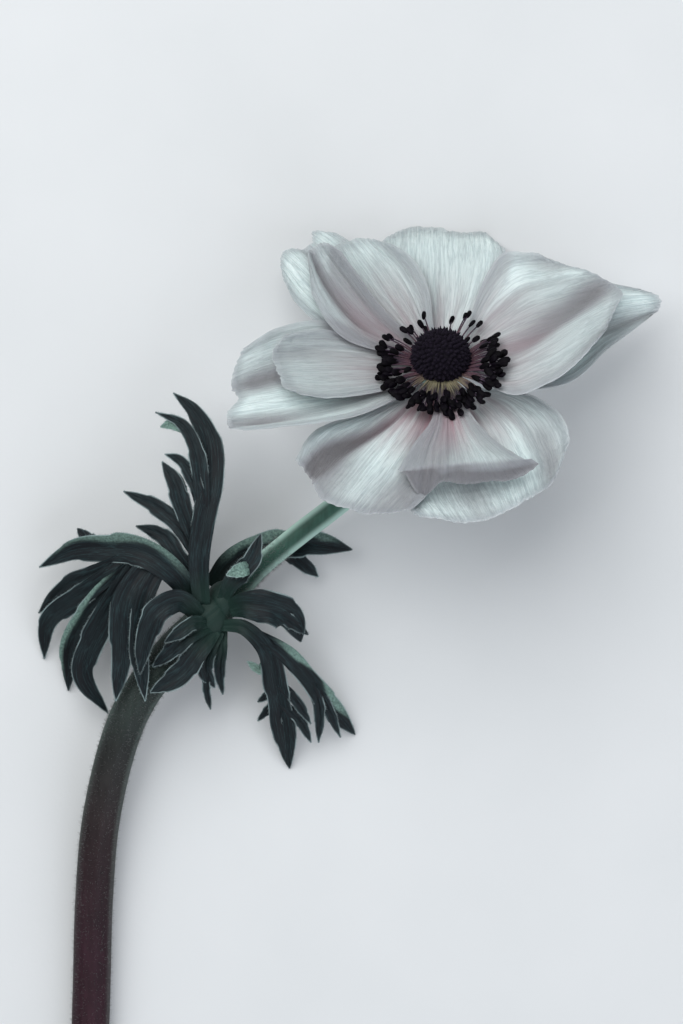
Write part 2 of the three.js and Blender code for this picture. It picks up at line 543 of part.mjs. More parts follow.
const carpelHead = () => {
  const rings = []
  for (let i = 0; i <= HEAD_RINGS; i += 1) {
    const climb = lerp(Math.asin(HEAD_FOOT / HEAD_RADIUS), radians(HEAD_TOP_DEG), i / HEAD_RINGS)
    const points = []
    for (let k = 0; k < HEAD_SIDES; k += 1) {
      const knob = i % 2 === 1 && (k + (i - 1) / 2) % 2 === 0
      const bump = knob ? HEAD_RELIEF : -HEAD_HOLLOW
      const turn = (2 * Math.PI * k) / HEAD_SIDES
      const r = (HEAD_RADIUS + bump) * Math.cos(climb)
      points.push(V(r * Math.cos(turn), r * Math.sin(turn), (HEAD_RADIUS + bump) * Math.sin(climb)))
    }
    rings.push(points)
  }
  return skin(rings)
}

const leaned = (shape) => {
  const x = AXIS_RIGHT
  const y = AXIS_BACK
  const z = AXIS_UP
  return shape.transform([x.x, x.y, x.z, 0, y.x, y.y, y.z, 0, z.x, z.y, z.z, 0, 0, 0, CENTRE_HEIGHT, 1])
}

// The flower
const PETAL_LOOK = { color: 0xbccbcb, roughness: 0.62 }
const LEAF_LOOK = { color: 0x1b1c25, roughness: 0.6 }
const STEM_LOOK = { color: 0x3a2d33, roughness: 0.65 }
const STAMEN_LOOK = { color: 0x17131b, roughness: 0.55 }
const HEAD_LOOK = { color: 0x150e1e, roughness: 0.8 }

const flower = new THREE.Group()
flower.name = 'anemone_flower'
flower.add(mesh('stem', stem(), STEM_LOOK))
for (const [name, spec] of Object.entries(LEAVES)) flower.add(mesh(name, leaf(spec), LEAF_LOOK))
for (const [name, spec] of Object.entries(PETALS)) flower.add(mesh(name, petal(spec), PETAL_LOOK))
flower.add(mesh('stamens', leaned(stamens()), STAMEN_LOOK))
flower.add(mesh('carpel_head', leaned(carpelHead()), HEAD_LOOK))

// Origin to the bottom centre of the whole.
const box = new THREE.Box3().setFromObject(flower)
const middle = box.getCenter(V(0, 0, 0))
for (const item of flower.children) item.geometry.translate(-middle.x, -middle.y, -box.min.z)

export default flower
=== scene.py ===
"""Looks of the cut anemone flower: fine petals, leaves, stem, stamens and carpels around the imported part.

Lengths are in millimetres until a mesh is made. The flower's own frame has its origin on the table
below the middle of the carpel head, +X to the right and +Y to the back of the bloom.
"""

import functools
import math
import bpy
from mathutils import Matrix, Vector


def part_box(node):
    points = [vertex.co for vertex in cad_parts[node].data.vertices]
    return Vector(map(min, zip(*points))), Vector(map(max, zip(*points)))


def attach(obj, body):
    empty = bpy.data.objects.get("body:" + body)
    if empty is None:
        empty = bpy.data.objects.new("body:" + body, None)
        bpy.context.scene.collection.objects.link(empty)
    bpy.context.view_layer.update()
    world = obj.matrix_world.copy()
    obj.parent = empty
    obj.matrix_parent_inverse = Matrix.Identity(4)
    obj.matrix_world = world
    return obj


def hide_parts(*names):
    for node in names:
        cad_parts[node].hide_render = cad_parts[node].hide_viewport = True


bl_info = {
    "name": "Anemone flower",
    "version": (1, 0, 0),
    "blender": (4, 5, 0),
    "location": "View3D > Sidebar > Anemone",
    "description": "Dresses the packed cut anemone flower with fine pieces and natural finishes",
    "category": "Object",
}

import bpy
import numpy as np
from bpy.props import FloatProperty, FloatVectorProperty, IntProperty, PointerProperty
from mathutils import Vector

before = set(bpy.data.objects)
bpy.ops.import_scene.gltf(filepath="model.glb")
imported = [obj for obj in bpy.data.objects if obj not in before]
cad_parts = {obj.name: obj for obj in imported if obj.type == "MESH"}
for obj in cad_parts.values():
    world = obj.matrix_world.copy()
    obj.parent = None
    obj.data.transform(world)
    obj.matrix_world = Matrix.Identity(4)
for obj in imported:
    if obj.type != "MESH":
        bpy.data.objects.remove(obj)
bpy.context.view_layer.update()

MM = 0.001
UP = np.array([0.0, 0.0, 1.0])
# Seeds of the random draws, and the steps between those of petals, leaves and lobes.
STAMEN_SEED = 31
CARPEL_SEED = 47
HAIR_SEED = 83
PETAL_SEEDS = 100
LEAF_SEEDS = 1000
LOBE_SEEDS = 10
GOLDEN_TURN = math.pi * (3 - math.sqrt(5))

# Lowest corner of the stem in the flower's own frame, from which the frame's place in the packed
# part follows, the lean of the bloom, and how the table bends what lies on it.
STEM_CORNER = np.array([-75.2188, -181.3016, 0.0])
FLOWER_ORIGIN = np.array(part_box("stem")[0]) / MM - STEM_CORNER
CENTRE_HEIGHT = 27.0
TILT = math.radians(40.0)
TABLE_CLEARANCE = 0.36
TABLE_SOFTNESS = 1.5

# Petals: their roots in the bloom, the shares of the length where widths are given, and the grid.
PETAL_ROOT_RADIUS = 4.5
PETAL_ROOT_HALF = 2.3
WHORL_DROP = 1.6
WHORL_BACK = 1.34
STATIONS = [0, 0.15, 0.4, 0.7, 1]
MIDRIB_STEPS = 60
LONGEST_REACH = 1.2
PETAL_ROWS = 96
PETAL_COLUMNS = 72
# A pleat's place across a petal is the one that it has this share of the way out. Relief is calm
# where a petal is narrower than CALM_HALF to one side, crinkles are 2.4 mm apart, and a petal thins
# out over its outer 1.4 mm.
PLEAT_PLACE = 0.6
CALM_HALF = 7.0
CRINKLE_SIZE = 2.4
THIN_MARGIN = 1.4

# Colour of the petals: how deep the turned-down end counts in the painted shade, how much deeper its
# hanging corner, how much further from the edge the outer petals' margins count for the painted shade
# of the curled rim, and where the pink flush is strongest.
TURNED_SHADE = 1.3
CORNER_SHADE = 0.7
OUTER_RIM = 1.4
FLUSH_WAY = math.radians(268)
FLUSH_SPREAD = math.radians(32)
# Map of the table's plane on which overlaps are counted.
MAP_REACH = 56.0
MAP_CELL = 0.5
MAP_SIDE = int(2 * MAP_REACH / MAP_CELL)

# Stamens and carpel head.
HEAD_RADIUS = 6.1
CORE_RADIUS = HEAD_RADIUS - 0.75
CARPEL_RADIUS = 0.46
DISC_RADIUS = 5.5
DISC_TOP = -0.9
DISC_FOOT = -1.65
STAMEN_INNER = 8.6
STAMEN_OUTER = 13.3
# Stamens crowd to both sides, some are missing at the back and the rest smaller there. They start
# ROOT_DEPTH inside the disc, bow upwards a little, and their anthers are flattened.
SIDE_CROWDING = 0.22
BACK_THINNED = 0.68
BACK_SMALLER = 0.22
ROOT_DEPTH = 0.7
FILAMENT_BOW = 0.06
ANTHER_FLAT = 0.72
ANTHER_FURROW = 0.28

# Stem: its radii, cut end, grid and ribs, and the shares of its stations between which hairs stand.
RECEPTACLE_HEIGHTS = (-8.0, -6.8, -5.0, -2.0)
SCAPE_RADIUS = 3.85
STALK_RADIUS = 2.25
CUT_SLANT = 0.35
STEM_ROWS = 320
STEM_SIDES = 48
RIBS = 9
HAIRY_PART = (0.012, 0.6)

# Leaves: the place and way of their collar on the stem, the keel and grid of a lobe, and its start
# this far inside its sheath, or below the lobe that it branches from.
HUB = np.array([-45.5, -51, 12.8])
HUB_WAY = np.array([0.78, 0.62, 0.0]) / math.hypot(0.78, 0.62)
SHEATH_SWELL = 0.75
LEAF_KEEL = math.tan(math.radians(16))
KEEL_SOFTNESS = 0.03
LOBE_TIP_HALF = 0.25
LOBE_ROWS = 64
LOBE_COLUMNS = 16
ROOT_SINK = 0.5
SIDE_VEIN_GAP = 2.6
RIB_GROOVE = 0.12
RIB_HALF = 0.22
FRINGE_RADIUS = 0.022
# One unit of a leaf's UV map is this wide and this long.
LEAF_UV = (8, 60)

CAMERA_PLACE = np.array([-19.82, -30.7, 878.0])
LENS = 150
LIGHTS_AIM = (-20.0, -10.0, 15.0)

# Petals: azimuth and level of the root; length, rise, bend and roll of the midrib, in mm and degrees;
# half-widths to the left and right at the stations; share of the length that each place across it
# reaches (edge); how far both halves roll up (cup); from where, to where and by how much the end turns
# down (hook). Each pleat has its place across, its slant from there, half-width, height, first and full
# share of the way out. The colours alone take dull, which greys the outer half, and dense, the weight
# of the painted shade where other petals overlap. The values are those of the part's source, apart
# from the outer right petal's slim lower margin, which keeps its outline, and the pleats, which are
# finer than the part.
PETALS = {
    "petal_outer_right": dict(
        azimuth=11, level=-3.8, length=43, bend=12, dull=0.35,
        rise=[12, 6, -4], roll=[0, 10, 30], cup=[20, 20, 10],
        left=[8, 13, 11, 6], right=[9, 12.4, 5.6, 0.8],
        edge=[0.93, 0.938, 0.96, 0.98, 1, 0.96, 0.88],
        pleats=[(-0.2, 0, 0.3, -0.8, 0.4, 0.9), (0.45, 0, 0.25, 0.7, 0.3, 0.8)],
    ),
    "petal_outer_back": dict(
        azimuth=91, level=-4.6, length=35.4,
        rise=[10, 2, -8], cup=[8, 10, 5],
        left=[6, 11, 13.5, 13], right=[6, 11.5, 14.5, 14.3],
        edge=[0.78, 0.94, 0.94, 0.98, 0.99, 0.94, 0.76],
        pleats=[(0.05, 0, 0.12, 0.3, 0.4, 0.9), (0.5, 0, 0.2, -0.3, 0.4, 0.9)],
    ),
    "petal_outer_back_left": dict(
        azimuth=134, level=-3.8, length=40,
        rise=[10, 8, 0], cup=[12, 20, 14],
        left=[6, 11.4, 12.2, 9.2], right=[5, 8.5, 8.5, 7.8],
        edge=[0.85, 0.95, 0.895, 0.93, 0.95, 0.9, 0.8],
        pleats=[(-0.1, 0, 0.16, -1.3, 0.35, 0.8), (0.45, 0, 0.25, 0.7, 0.3, 0.8)],
    ),
    "petal_outer_left": dict(
        azimuth=196.3, level=-2.9, length=40, dull=0.5,
        rise=[11, 5, 1], cup=[20, 30, 20],
        left=[7, 12.5, 12.8, 10], right=[8, 14, 14.5, 11.5],
        edge=[0.84, 0.91, 0.95, 0.94, 1.02, 1.03, 0.97],
        pleats=[(-0.3, 0, 0.18, -1.2, 0.3, 0.7), (0.2, 0, 0.22, 1.0, 0.35, 0.8),
                (0.6, 0, 0.14, -1.2, 0.4, 0.9)],
    ),
    "petal_outer_front_left": dict(
        azimuth=243, level=-3.8, length=36.4, bend=-10, dull=1.3,
        rise=[8, -3, -12], cup=[10, 10, 0],
        left=[6, 12, 14, 13], right=[3.5, 8, 13.2, 13],
        edge=[0.87, 0.9, 0.985, 0.985, 0.955, 0.89, 0.79],
        pleats=[(-0.5, -0.6, 0.16, -1.8, 0.08, 0.4), (0.12, 0, 0.3, 0.9, 0.2, 0.6),
                (-0.86, -0.3, 0.14, 1.2, 0.3, 0.8)],
    ),
    "petal_outer_front_right": dict(
        azimuth=293, level=-5.3, length=34.5, dense=0.1, dull=0.4,
        rise=[8, -5, -15], cup=[5, 4, 0],
        left=[11, 16.8, 17.3, 14.8], right=[8, 15, 20, 19],
        edge=[0.76, 0.875, 0.93, 0.915, 0.885, 0.83, 0.68],
        pleats=[(-0.3, 0, 0.2, -0.4, 0.2, 0.8), (0.2, 0, 0.25, 0.8, 0.1, 0.4),
                (0.68, 0, 0.2, -0.9, 0.3, 0.6)],
    ),
    "petal_inner_right": dict(
        azimuth=10, level=-1.1, length=39, bend=14, dull=0.3,
        rise=[12, 17, 6], cup=[20, 25, 20],
        left=[11.5, 19.3, 17.6, 15.5], right=[14, 16.5, 12.5, 8.7],
        edge=[0.67, 0.75, 0.82, 0.89, 0.86, 0.74, 0.6],
        pleats=[(0.46, 0.2, 0.17, 0.4, 0.2, 0.55), (0.78, 0, 0.18, -0.7, 0.4, 0.8),
                (0.1, 0.55, 0.17, -1.6, 0.08, 0.42), (-0.36, 0.2, 0.24, 1.0, 0.2, 0.6),
                (-0.8, 0.1, 0.12, -0.5, 0.3, 0.7)],
    ),
    "petal_inner_back": dict(
        azimuth=123, level=-2, length=30.5, dense=0.45,
        rise=[8, 12, 8], cup=[12, 20, 30],
        left=[5, 9.5, 11, 8], right=[4.3, 7.8, 9, 7.2],
        edge=[0.8, 0.91, 0.97, 1, 1, 0.95, 0.82],
        pleats=[(-0.1, 0, 0.3, 0.5, 0.3, 0.8), (-0.75, 0, 0.16, -0.6, 0.3, 0.7)],
    ),
    "petal_inner_back_left": dict(
        azimuth=150, level=-1.1, length=32, bend=-26,
        rise=[12, 24, 24], cup=[20, 20, 25],
        left=[5, 9.5, 9, 5], right=[2.5, 2.8, 3.6, 3.6],
        edge=[0.84, 0.93, 0.96, 0.96, 0.96, 0.93, 0.84],
        pleats=[(0.3, 0, 0.16, -1.7, 0.08, 0.45), (-0.05, 0, 0.15, 1.1, 0.3, 0.7),
                (0.72, 0, 0.18, 0.9, 0.2, 0.6)],
    ),
    "petal_inner_left": dict(
        azimuth=194, level=-2, length=31,
        rise=[12, 14, 18], cup=[12, 28, 28],
        left=[5, 8, 10, 8.5], right=[5, 8.3, 9.7, 8.5],
        edge=[0.86, 0.95, 0.97, 0.97, 0.97, 0.97, 0.88],
        pleats=[(0.05, 0, 0.25, 0.5, 0.2, 0.6), (-0.5, 0, 0.2, -0.7, 0.3, 0.8)],
    ),
    "petal_inner_front": dict(
        azimuth=277, level=-1.4, length=29.8,
        rise=[10, 8, 5], cup=[20, 0, -10], hook=[0.835, 0.885, 64],
        left=[2.6, 4, 7.8, 15.5], right=[2.5, 3.8, 8.5, 12.5],
        edge=[0.8, 1.06, 0.97, 1, 1, 1, 0.93],
        pleats=[(-0.1, 0, 0.2, -0.5, 0.3, 0.7), (0.5, 0, 0.25, 0.4, 0.3, 0.7)],
    ),
}

# Leaves: turns round the stem and ways along it of the clasping base, the lobes that show their pale
# lower side, and those that are paler along one side, with the sign giving the side and the size how
# much. Each lobe has its half-width, the share of its length where it is widest, the share of its width
# at the root, and the points of its rib.
LEAVES = {
    "leaf_left": dict(
        turns=[-6, 132], ways=[-4.4, 2.6], pale=[2], turned={8: -0.6, 12: -1},
        lobes=[
            (2.5, 0.62, 0.7, [(-48, -49.5, 16.5), (-48.5, -40.5, 20), (-47.5, -32.5, 21),
             (-46, -24.5, 20.5), (-46.5, -16, 18), (-49.5, -10.5, 15), (-54, -6.5, 12)]),
            (1.7, 0.4, 0.5, [(-47.5, -33.5, 21), (-48, -24.5, 21), (-49.5, -17, 20), (-52, -13, 18),
             (-57.5, -10.5, 15)]),
            (1.1, 0.5, 0.5, [(-51, -14.5, 18.8), (-54, -13, 16.5), (-56.5, -13.5, 15)]),
            (1.5, 0.5, 0.5, [(-47.5, -32.5, 21), (-49, -25.5, 21), (-52, -20.5, 20), (-55.5, -19, 18)]),
            (1.9, 0.6, 0.5, [(-48.3, -38.5, 20.3), (-51.5, -30.5, 20.5), (-53.5, -24.5, 20),
             (-56, -20.5, 18.5)]),
            (1.1, 0.5, 0.6, [(-51.3, -30.5, 20.5), (-52.5, -24.5, 19.5), (-54.5, -22, 18)]),
            (1.8, 0.5, 0.5, [(-48.5, -40.5, 20), (-52.5, -33.5, 19), (-57.5, -29.5, 17), (-64, -26.5, 14)]),
            (1.9, 0.5, 0.5, [(-48.1, -46.5, 17.8), (-52.5, -40, 18.5), (-56, -35.5, 17), (-61.5, -33.5, 14)
             ]),
            (3, 0.5, 0.6, [(-49.5, -49.2, 15), (-53.5, -43, 20), (-59.5, -39, 20), (-66.5, -38, 16.5),
             (-74, -38.5, 12), (-81.5, -42, 8)]),
            (1.6, 0.4, 0.8, [(-67.9, -37.8, 14.2), (-71, -36.4, 12.8), (-73.5, -34, 11.5)]),
            (1.9, 0.5, 0.5, [(-62, -39, 18.9), (-68.5, -42.5, 16), (-76, -46, 10), (-82, -51.5, 3)]),
            (2.3, 0.5, 0.5, [(-61.5, -39.5, 19.1), (-71, -46.5, 14), (-79.6, -53, 7), (-81, -61, 0.4)]),
            (2.4, 0.55, 0.5, [(-61, -40, 19.4), (-70, -49.5, 13.5), (-75, -58, 7), (-76, -67.5, 0.4)]),
            (2.7, 0.5, 0.5, [(-60, -39.5, 19.8), (-68.5, -53.5, 14), (-72.5, -63.5, 9), (-67.5, -72, 5)]),
            (2.6, 0.5, 0.6, [(-58.5, -40, 20), (-63.5, -48.5, 20), (-64, -58.5, 17.5), (-65.5, -69, 15)]),
            (2.2, 0.5, 0.6, [(-56, -41, 20.5), (-59.5, -48.5, 20.5), (-60.5, -58.5, 18), (-59.5, -69, 15.3)
             ]),
            (2.5, 0.45, 0.6, [(-48.2, -51.7, 17.1), (-52.5, -48.5, 21), (-57, -51, 22.5),
             (-59.5, -57.5, 20.5), (-60.5, -63.5, 18.5)]),
        ],
    ),
    "leaf_right": dict(
        turns=[-50, 178], ways=[0.6, 5.6], pale=[3], turned={0: 1},
        lobes=[
            (2.9, 0.6, 0.9, [(-45.6, -46.4, 8.2), (-42, -41, 7.9), (-35, -37.7, 8), (-28, -37, 8),
             (-22.5, -37.4, 7.6), (-17.6, -38.4, 7)]),
            (1.7, 0.5, 0.5, [(-34, -37.8, 7.9), (-30, -39.5, 6.5), (-24.5, -44, 4.5)]),
            (2, 0.5, 0.6, [(-43.8, -48.5, 16.9), (-42, -45, 19), (-38, -40.5, 20.5), (-36, -35, 20)]),
            (1.5, 0.3, 0.8, [(-38.2, -41.8, 20.4), (-39.9, -42.3, 21.7), (-43, -43.4, 21.2)]),
            (3.4, 0.5, 0.5, [(-42.4, -50.2, 16.8), (-39, -49.4, 19.6), (-34, -50, 20.5), (-30, -52, 18.5),
             (-28, -57, 16)]),
            (1.4, 0.4, 0.7, [(-33.4, -50.4, 20.1), (-29, -53.5, 18), (-26.5, -55.5, 16.5)]),
        ],
    ),
    "leaf_front": dict(
        turns=[-132, 8], ways=[-4.6, 2.4], pale=[1], turned={7: 1},
        lobes=[
            (2.5, 0.7, 0.45, [(-44.1, -53.6, 16), (-39.5, -54, 18.4), (-35, -58.5, 17.2), (-33, -67, 12),
             (-31.5, -75.5, 6), (-30.5, -83.5, 0.4)]),
            (1, 0.5, 0.7, [(-34.8, -60.2, 15.3), (-36.3, -62.6, 13), (-39, -61, 12)]),
            (0.9, 0.5, 0.7, [(-33.2, -65, 13.2), (-34.5, -67.5, 11), (-37, -69.5, 8)]),
            (0.9, 0.5, 0.7, [(-32.8, -68, 11.3), (-34, -70, 9), (-37, -73.5, 5.5)]),
            (0.9, 0.5, 0.7, [(-32.6, -69.5, 10.3), (-33, -73.5, 7.5), (-33.5, -77.5, 4)]),
            (1.1, 0.5, 0.7, [(-33, -65, 13.3), (-29.5, -68.5, 11), (-26, -74, 8)]),
            (1.1, 0.5, 0.7, [(-32.6, -69, 10.7), (-28.5, -73, 8), (-26, -78, 4)]),
            (2.2, 0.7, 0.5, [(-39, -54.4, 18.2), (-32, -58.5, 16.8), (-26.5, -64.5, 11.5), (-22, -70.5, 6),
             (-17, -76.5, 0.4)]),
            (1.2, 0.5, 0.7, [(-26.4, -64.6, 11.4), (-23, -70, 7), (-20, -77, 3.5)]),
            (1.2, 0.5, 0.7, [(-27, -64, 11.9), (-24.5, -70, 8), (-24.5, -78, 4)]),
            (1.9, 0.5, 0.5, [(-46, -53.8, 16.5), (-50.5, -55.5, 19), (-54.5, -59, 18), (-58, -62, 16.6)]),
            (2.4, 0.55, 0.5, [(-45.1, -54.5, 16.1), (-48.5, -58.5, 17.8), (-52.5, -63.5, 17),
             (-58.5, -67.2, 15.8)]),
            (1.7, 0.55, 0.5, [(-44.2, -54.8, 15.5), (-46.5, -58.5, 16), (-47.5, -62.5, 14),
             (-45.5, -66.5, 11)]),
            (0.8, 0.5, 0.8, [(-47.4, -61.5, 14.5), (-47.2, -67, 11.5), (-46.5, -71, 8.5)]),
            (1.2, 0.5, 0.6, [(-43.6, -54.6, 15), (-44, -58.5, 14.5), (-44.6, -63, 11.5), (-44, -68, 8)]),
            (1.5, 0.5, 0.6, [(-46.8, -53.1, 17), (-49.5, -53, 19.8), (-52.5, -55, 20.6), (-55.5, -57, 20)]),
        ],
    ),
}


def linear(code):
    """sRGB hex colour to linear RGBA: the piecewise sRGB curve on each channel."""
    parts = [int(code[i : i + 2], 16) / 255 for i in (1, 3, 5)]
    return tuple(c / 12.92 if c <= 0.04045 else ((c + 0.055) / 1.055) ** 2.4 for c in parts) + (1.0,)


def add(tree, kind, inputs=(), stops=(), out=None, **settings):
    """Adds a shader node: settings are its properties, inputs its sockets' values or the sockets to
    link to them, and stops the places and colours of a ramp. Returns the first output, or that
    named out."""
    item = tree.nodes.new("ShaderNode" + kind)
    for key, value in settings.items():
        setattr(item, key, value)
    for key, value in dict(inputs).items():
        if isinstance(value, bpy.types.NodeSocket):
            tree.links.new(value, item.inputs[key])
        else:
            item.inputs[key].default_value = value
    for place, _ in stops[1:-1]:
        item.color_ramp.elements.new(place)
    for element, (place, colour) in zip(item.color_ramp.elements if stops else (), stops):
        element.position = place
        element.color = colour
    shown = [socket for socket in item.outputs if socket.enabled and out in (None, socket.name)]
    return shown[0] if shown else None


def blank_material(name):
    """New material without nodes, and the function that adds one to it."""
    material = bpy.data.materials.new(name)
    material.use_nodes = True
    material.node_tree.nodes.clear()
    return material, functools.partial(add, material.node_tree)


def through(xs, ys, x):
    """Smooth curve through points: cubic pieces whose slopes blend those of the neighbours."""
    xs, ys = np.asarray(xs, float), np.asarray(ys, float)
    gap = np.diff(xs)
    rise = np.diff(ys) / gap
    inner = (gap[:-1] * rise[1:] + gap[1:] * rise[:-1]) / (gap[:-1] + gap[1:])
    slopes = np.concatenate([rise[:1], inner, rise[-1:]])
    at = np.clip(x, xs[0], xs[-1])
    k = np.clip(np.searchsorted(xs, at, side="right") - 1, 0, len(gap) - 1)
    h = gap[k]
    t = (at - xs[k]) / h
    return (
        (2 * t**3 - 3 * t**2 + 1) * ys[k]
        + (t**3 - 2 * t**2 + t) * h * slopes[k]
        + (-2 * t**3 + 3 * t**2) * ys[k + 1]
        + (t**3 - t**2) * h * slopes[k + 1]
    )


def quad(s, values):
    """Quadratic blend of a start, a middle and an end value that passes through all three."""
    a, m, b = values
    return a * (1 - s) ** 2 + 2 * (2 * m - (a + b) / 2) * s * (1 - s) + b * s * s


def smooth(low, high, x):
    """Soft step from nought at low to one at high: 3t^2 - 2t^3."""
    t = np.clip((x - low) / (high - low), 0, 1)
    return t * t * (3 - 2 * t)


def bell(x):
    """Bell curve: one at nought, falling off on both sides."""
    return np.exp(-(x**2))


def norm(vectors):
    """Length of each vector, kept as an axis."""
    return np.linalg.norm(vectors, axis=-1, keepdims=True)


def unit(vectors):
    """Vectors scaled to length one."""
    return vectors / np.maximum(norm(vectors), 1e-9)


def reached(path):
    """Distance along a path to each of its points."""
    return np.concatenate([[0], np.cumsum(norm(np.diff(path, axis=0))[:, 0])])


def catmull(points, t):
    """Centripetal Catmull-Rom curve: each piece is a cubic between two points, with slopes from the
    square roots of the gaps round them. Returns its points and directions at shares t of the way."""
    p = np.asarray(points, float)
    p = np.concatenate([[2 * p[0] - p[1]], p, [2 * p[-1] - p[-2]]])
    last = len(p) - 3
    at = np.clip(np.asarray(t, float), 0, 1) * last
    k = np.minimum(at.astype(int), last - 1)
    w = (at - k)[..., None]
    a, b, c, d = (p[k + i] for i in range(4))
    g0, g1, g2 = (np.maximum(norm(y - x), 1e-4) ** 0.5 for x, y in ((a, b), (b, c), (c, d)))
    u = ((b - a) / g0 - (c - a) / (g0 + g1) + (c - b) / g1) * g1
    v = ((c - b) / g1 - (d - b) / (g1 + g2) + (d - c) / g2) * g1
    c2, c3 = -3 * b + 3 * c - 2 * u - v, 2 * b - 2 * c + u + v
    return b + u * w + c2 * w**2 + c3 * w**3, unit(u + 2 * c2 * w + 3 * c3 * w**2)


def catmull_even(points, s):
    """The same curve at shares s of its length, by a table of chord lengths."""
    fine = np.linspace(0, 1, 60 * (len(points) - 1) + 1)
    length = reached(catmull(points, fine)[0])
    return catmull(points, np.interp(np.asarray(s) * length[-1], length, fine))


def waves(seed, x, lowest, highest, count=7):
    """Sum of sines of x with seeded frequencies between lowest and highest and seeded phases,
    scaled to about one."""
    draw = np.random.default_rng(seed)
    frequencies = np.exp(draw.uniform(np.log(lowest), np.log(highest), count))
    phases = draw.uniform(0, 2 * np.pi, count)
    return np.sin(x[..., None] * frequencies * 2 * np.pi + phases).sum(-1) / math.sqrt(count)


def crinkle(seed, x, y, spacing, count=14):
    """Sum of plane waves in seeded directions, whose lengths lie round the given spacing."""
    draw = np.random.default_rng(seed)
    way = draw.uniform(0, np.pi, count)
    pitch = 2 * np.pi / (spacing * draw.uniform(0.7, 1.6, count))
    phases = draw.uniform(0, 2 * np.pi, count)
    turn = x[..., None] * np.cos(way) * pitch + y[..., None] * np.sin(way) * pitch + phases
    return np.sin(turn).sum(-1) / math.sqrt(count)


def lean(p):
    """Bloom frame to the flower's frame: turned back round X by the tilt and raised to the centre."""
    c, s = math.cos(TILT), math.sin(TILT)
    turned = [p[..., 0], p[..., 1] * c + p[..., 2] * s, -p[..., 1] * s + p[..., 2] * c + CENTRE_HEIGHT]
    return np.stack(turned, -1)


def press(p):
    """What would dip under the table is bent smoothly up: a parabola joins the slope to the flat."""
    low, high = TABLE_CLEARANCE - TABLE_SOFTNESS, TABLE_CLEARANCE + TABLE_SOFTNESS
    z = p[..., 2]
    bent = TABLE_CLEARANCE + np.maximum(z - low, 0) ** 2 / (4 * TABLE_SOFTNESS)
    return np.stack([p[..., 0], p[..., 1], np.where(z >= high, z, bent)], -1)


def turns(sides):
    """Even turns round a circle."""
    return np.arange(sides) * 2 * np.pi / sides


def spokes(turn, aside, above):
    """Directions at turns from aside towards above: cosine times the one plus sine times the other."""
    return np.cos(turn)[:, None] * aside[..., None, :] + np.sin(turn)[:, None] * above[..., None, :]


def lathe(radii, heights, sides):
    """Rings of a body turned round Z: a circle of each radius at its height."""
    turn = turns(sides)
    x, y = radii[:, None] * np.cos(turn), radii[:, None] * np.sin(turn)
    return np.stack([x, y, np.repeat(heights[:, None], sides, 1)], -1)


def crowded(rows, columns, power):
    """Shares from nought to one along a blade, closer at its tip by a power, and from minus one to one
    across it, closer at its margins by a sine."""
    along = 1 - (1 - np.linspace(0, 1, rows + 1)) ** power
    return along, np.sin(np.linspace(-1, 1, columns + 1) * np.pi / 2)


def grid_normals(grid):
    """Unit normals of a grid: its direction along the rows crossed with that along the columns."""
    return unit(np.cross(np.gradient(grid, axis=0), np.gradient(grid, axis=1)))


def grid_cells(rows, columns, wrap=False):
    """Four corners of each cell of a grid of points, counter-clockwise seen from along x across."""
    i, j = np.meshgrid(np.arange(rows - 1), np.arange(columns - (0 if wrap else 1)), indexing="ij")
    i, j, k = i.ravel(), j.ravel(), (j.ravel() + 1) % columns
    return np.stack([i * columns + j, (i + 1) * columns + j, (i + 1) * columns + k, i * columns + k], 1)


def blade(grid, thickness, normals):
    """Closed thin body round a grid: two faces half the thickness off along the normals, and a rim."""
    rows, columns = grid.shape[:2]
    offset = normals * (np.broadcast_to(thickness, (rows, columns))[..., None] / 2)
    points = np.concatenate([(grid + offset).reshape(-1, 3), (grid - offset).reshape(-1, 3)])
    shift = rows * columns
    top = grid_cells(rows, columns)
    index = np.arange(shift).reshape(rows, columns)
    around = np.concatenate([index[::-1, 0], index[0, 1:], index[1:, -1], index[-1, -2::-1]])
    a, b = around[:-1], around[1:]
    rim = np.stack([a, b, b + shift, a + shift], 1)
    return points, np.concatenate([top, top[:, ::-1] + shift, rim])


def twice(values):
    """Values of a grid's points for both faces of its blade."""
    return np.concatenate([values.reshape(-1, *values.shape[2:])] * 2)


def tube(rings, first=0):
    """Closed skin over rings of points: cells between the rings and a fan to the middle at each end.
    Each ring runs counter-clockwise seen from the end that the rings lead to."""
    count, sides = rings.shape[:2]
    points = np.concatenate([rings.reshape(-1, 3), rings[:1].mean(1), rings[-1:].mean(1)])
    k = np.arange(sides)
    cells = grid_cells(count, sides, wrap=True)[:, ::-1]
    foot = np.stack([(k + 1) % sides, k, np.full(sides, count * sides)], 1)
    top = (count - 1) * sides
    head = np.stack([top + k, top + (k + 1) % sides, np.full(sides, count * sides + 1)], 1)
    return points, [first + cells, first + foot, first + head]


def many_tubes(rings):
    """Closed skins of many like tubes at once: rings has the shape tubes, rings, sides, 3."""
    count = len(rings)
    ends = [rings[:, end].mean(1)[:, None] for end in (0, -1)]
    points = np.concatenate([rings.reshape(count, -1, 3), *ends], 1)
    _, faces = tube(rings[0])
    shift = (np.arange(count) * points.shape[1])[:, None, None]
    return points.reshape(-1, 3), [(shift + part[None]).reshape(-1, part.shape[1]) for part in faces]


def round_rings(path, radii, sides):
    """Rings square to each of many paths, radii wide."""
    way = unit(np.gradient(path, axis=1))
    aside = unit(np.cross(UP, way))
    return path[..., None, :] + spokes(turns(sides), aside, np.cross(way, aside)) * radii[..., None, None]


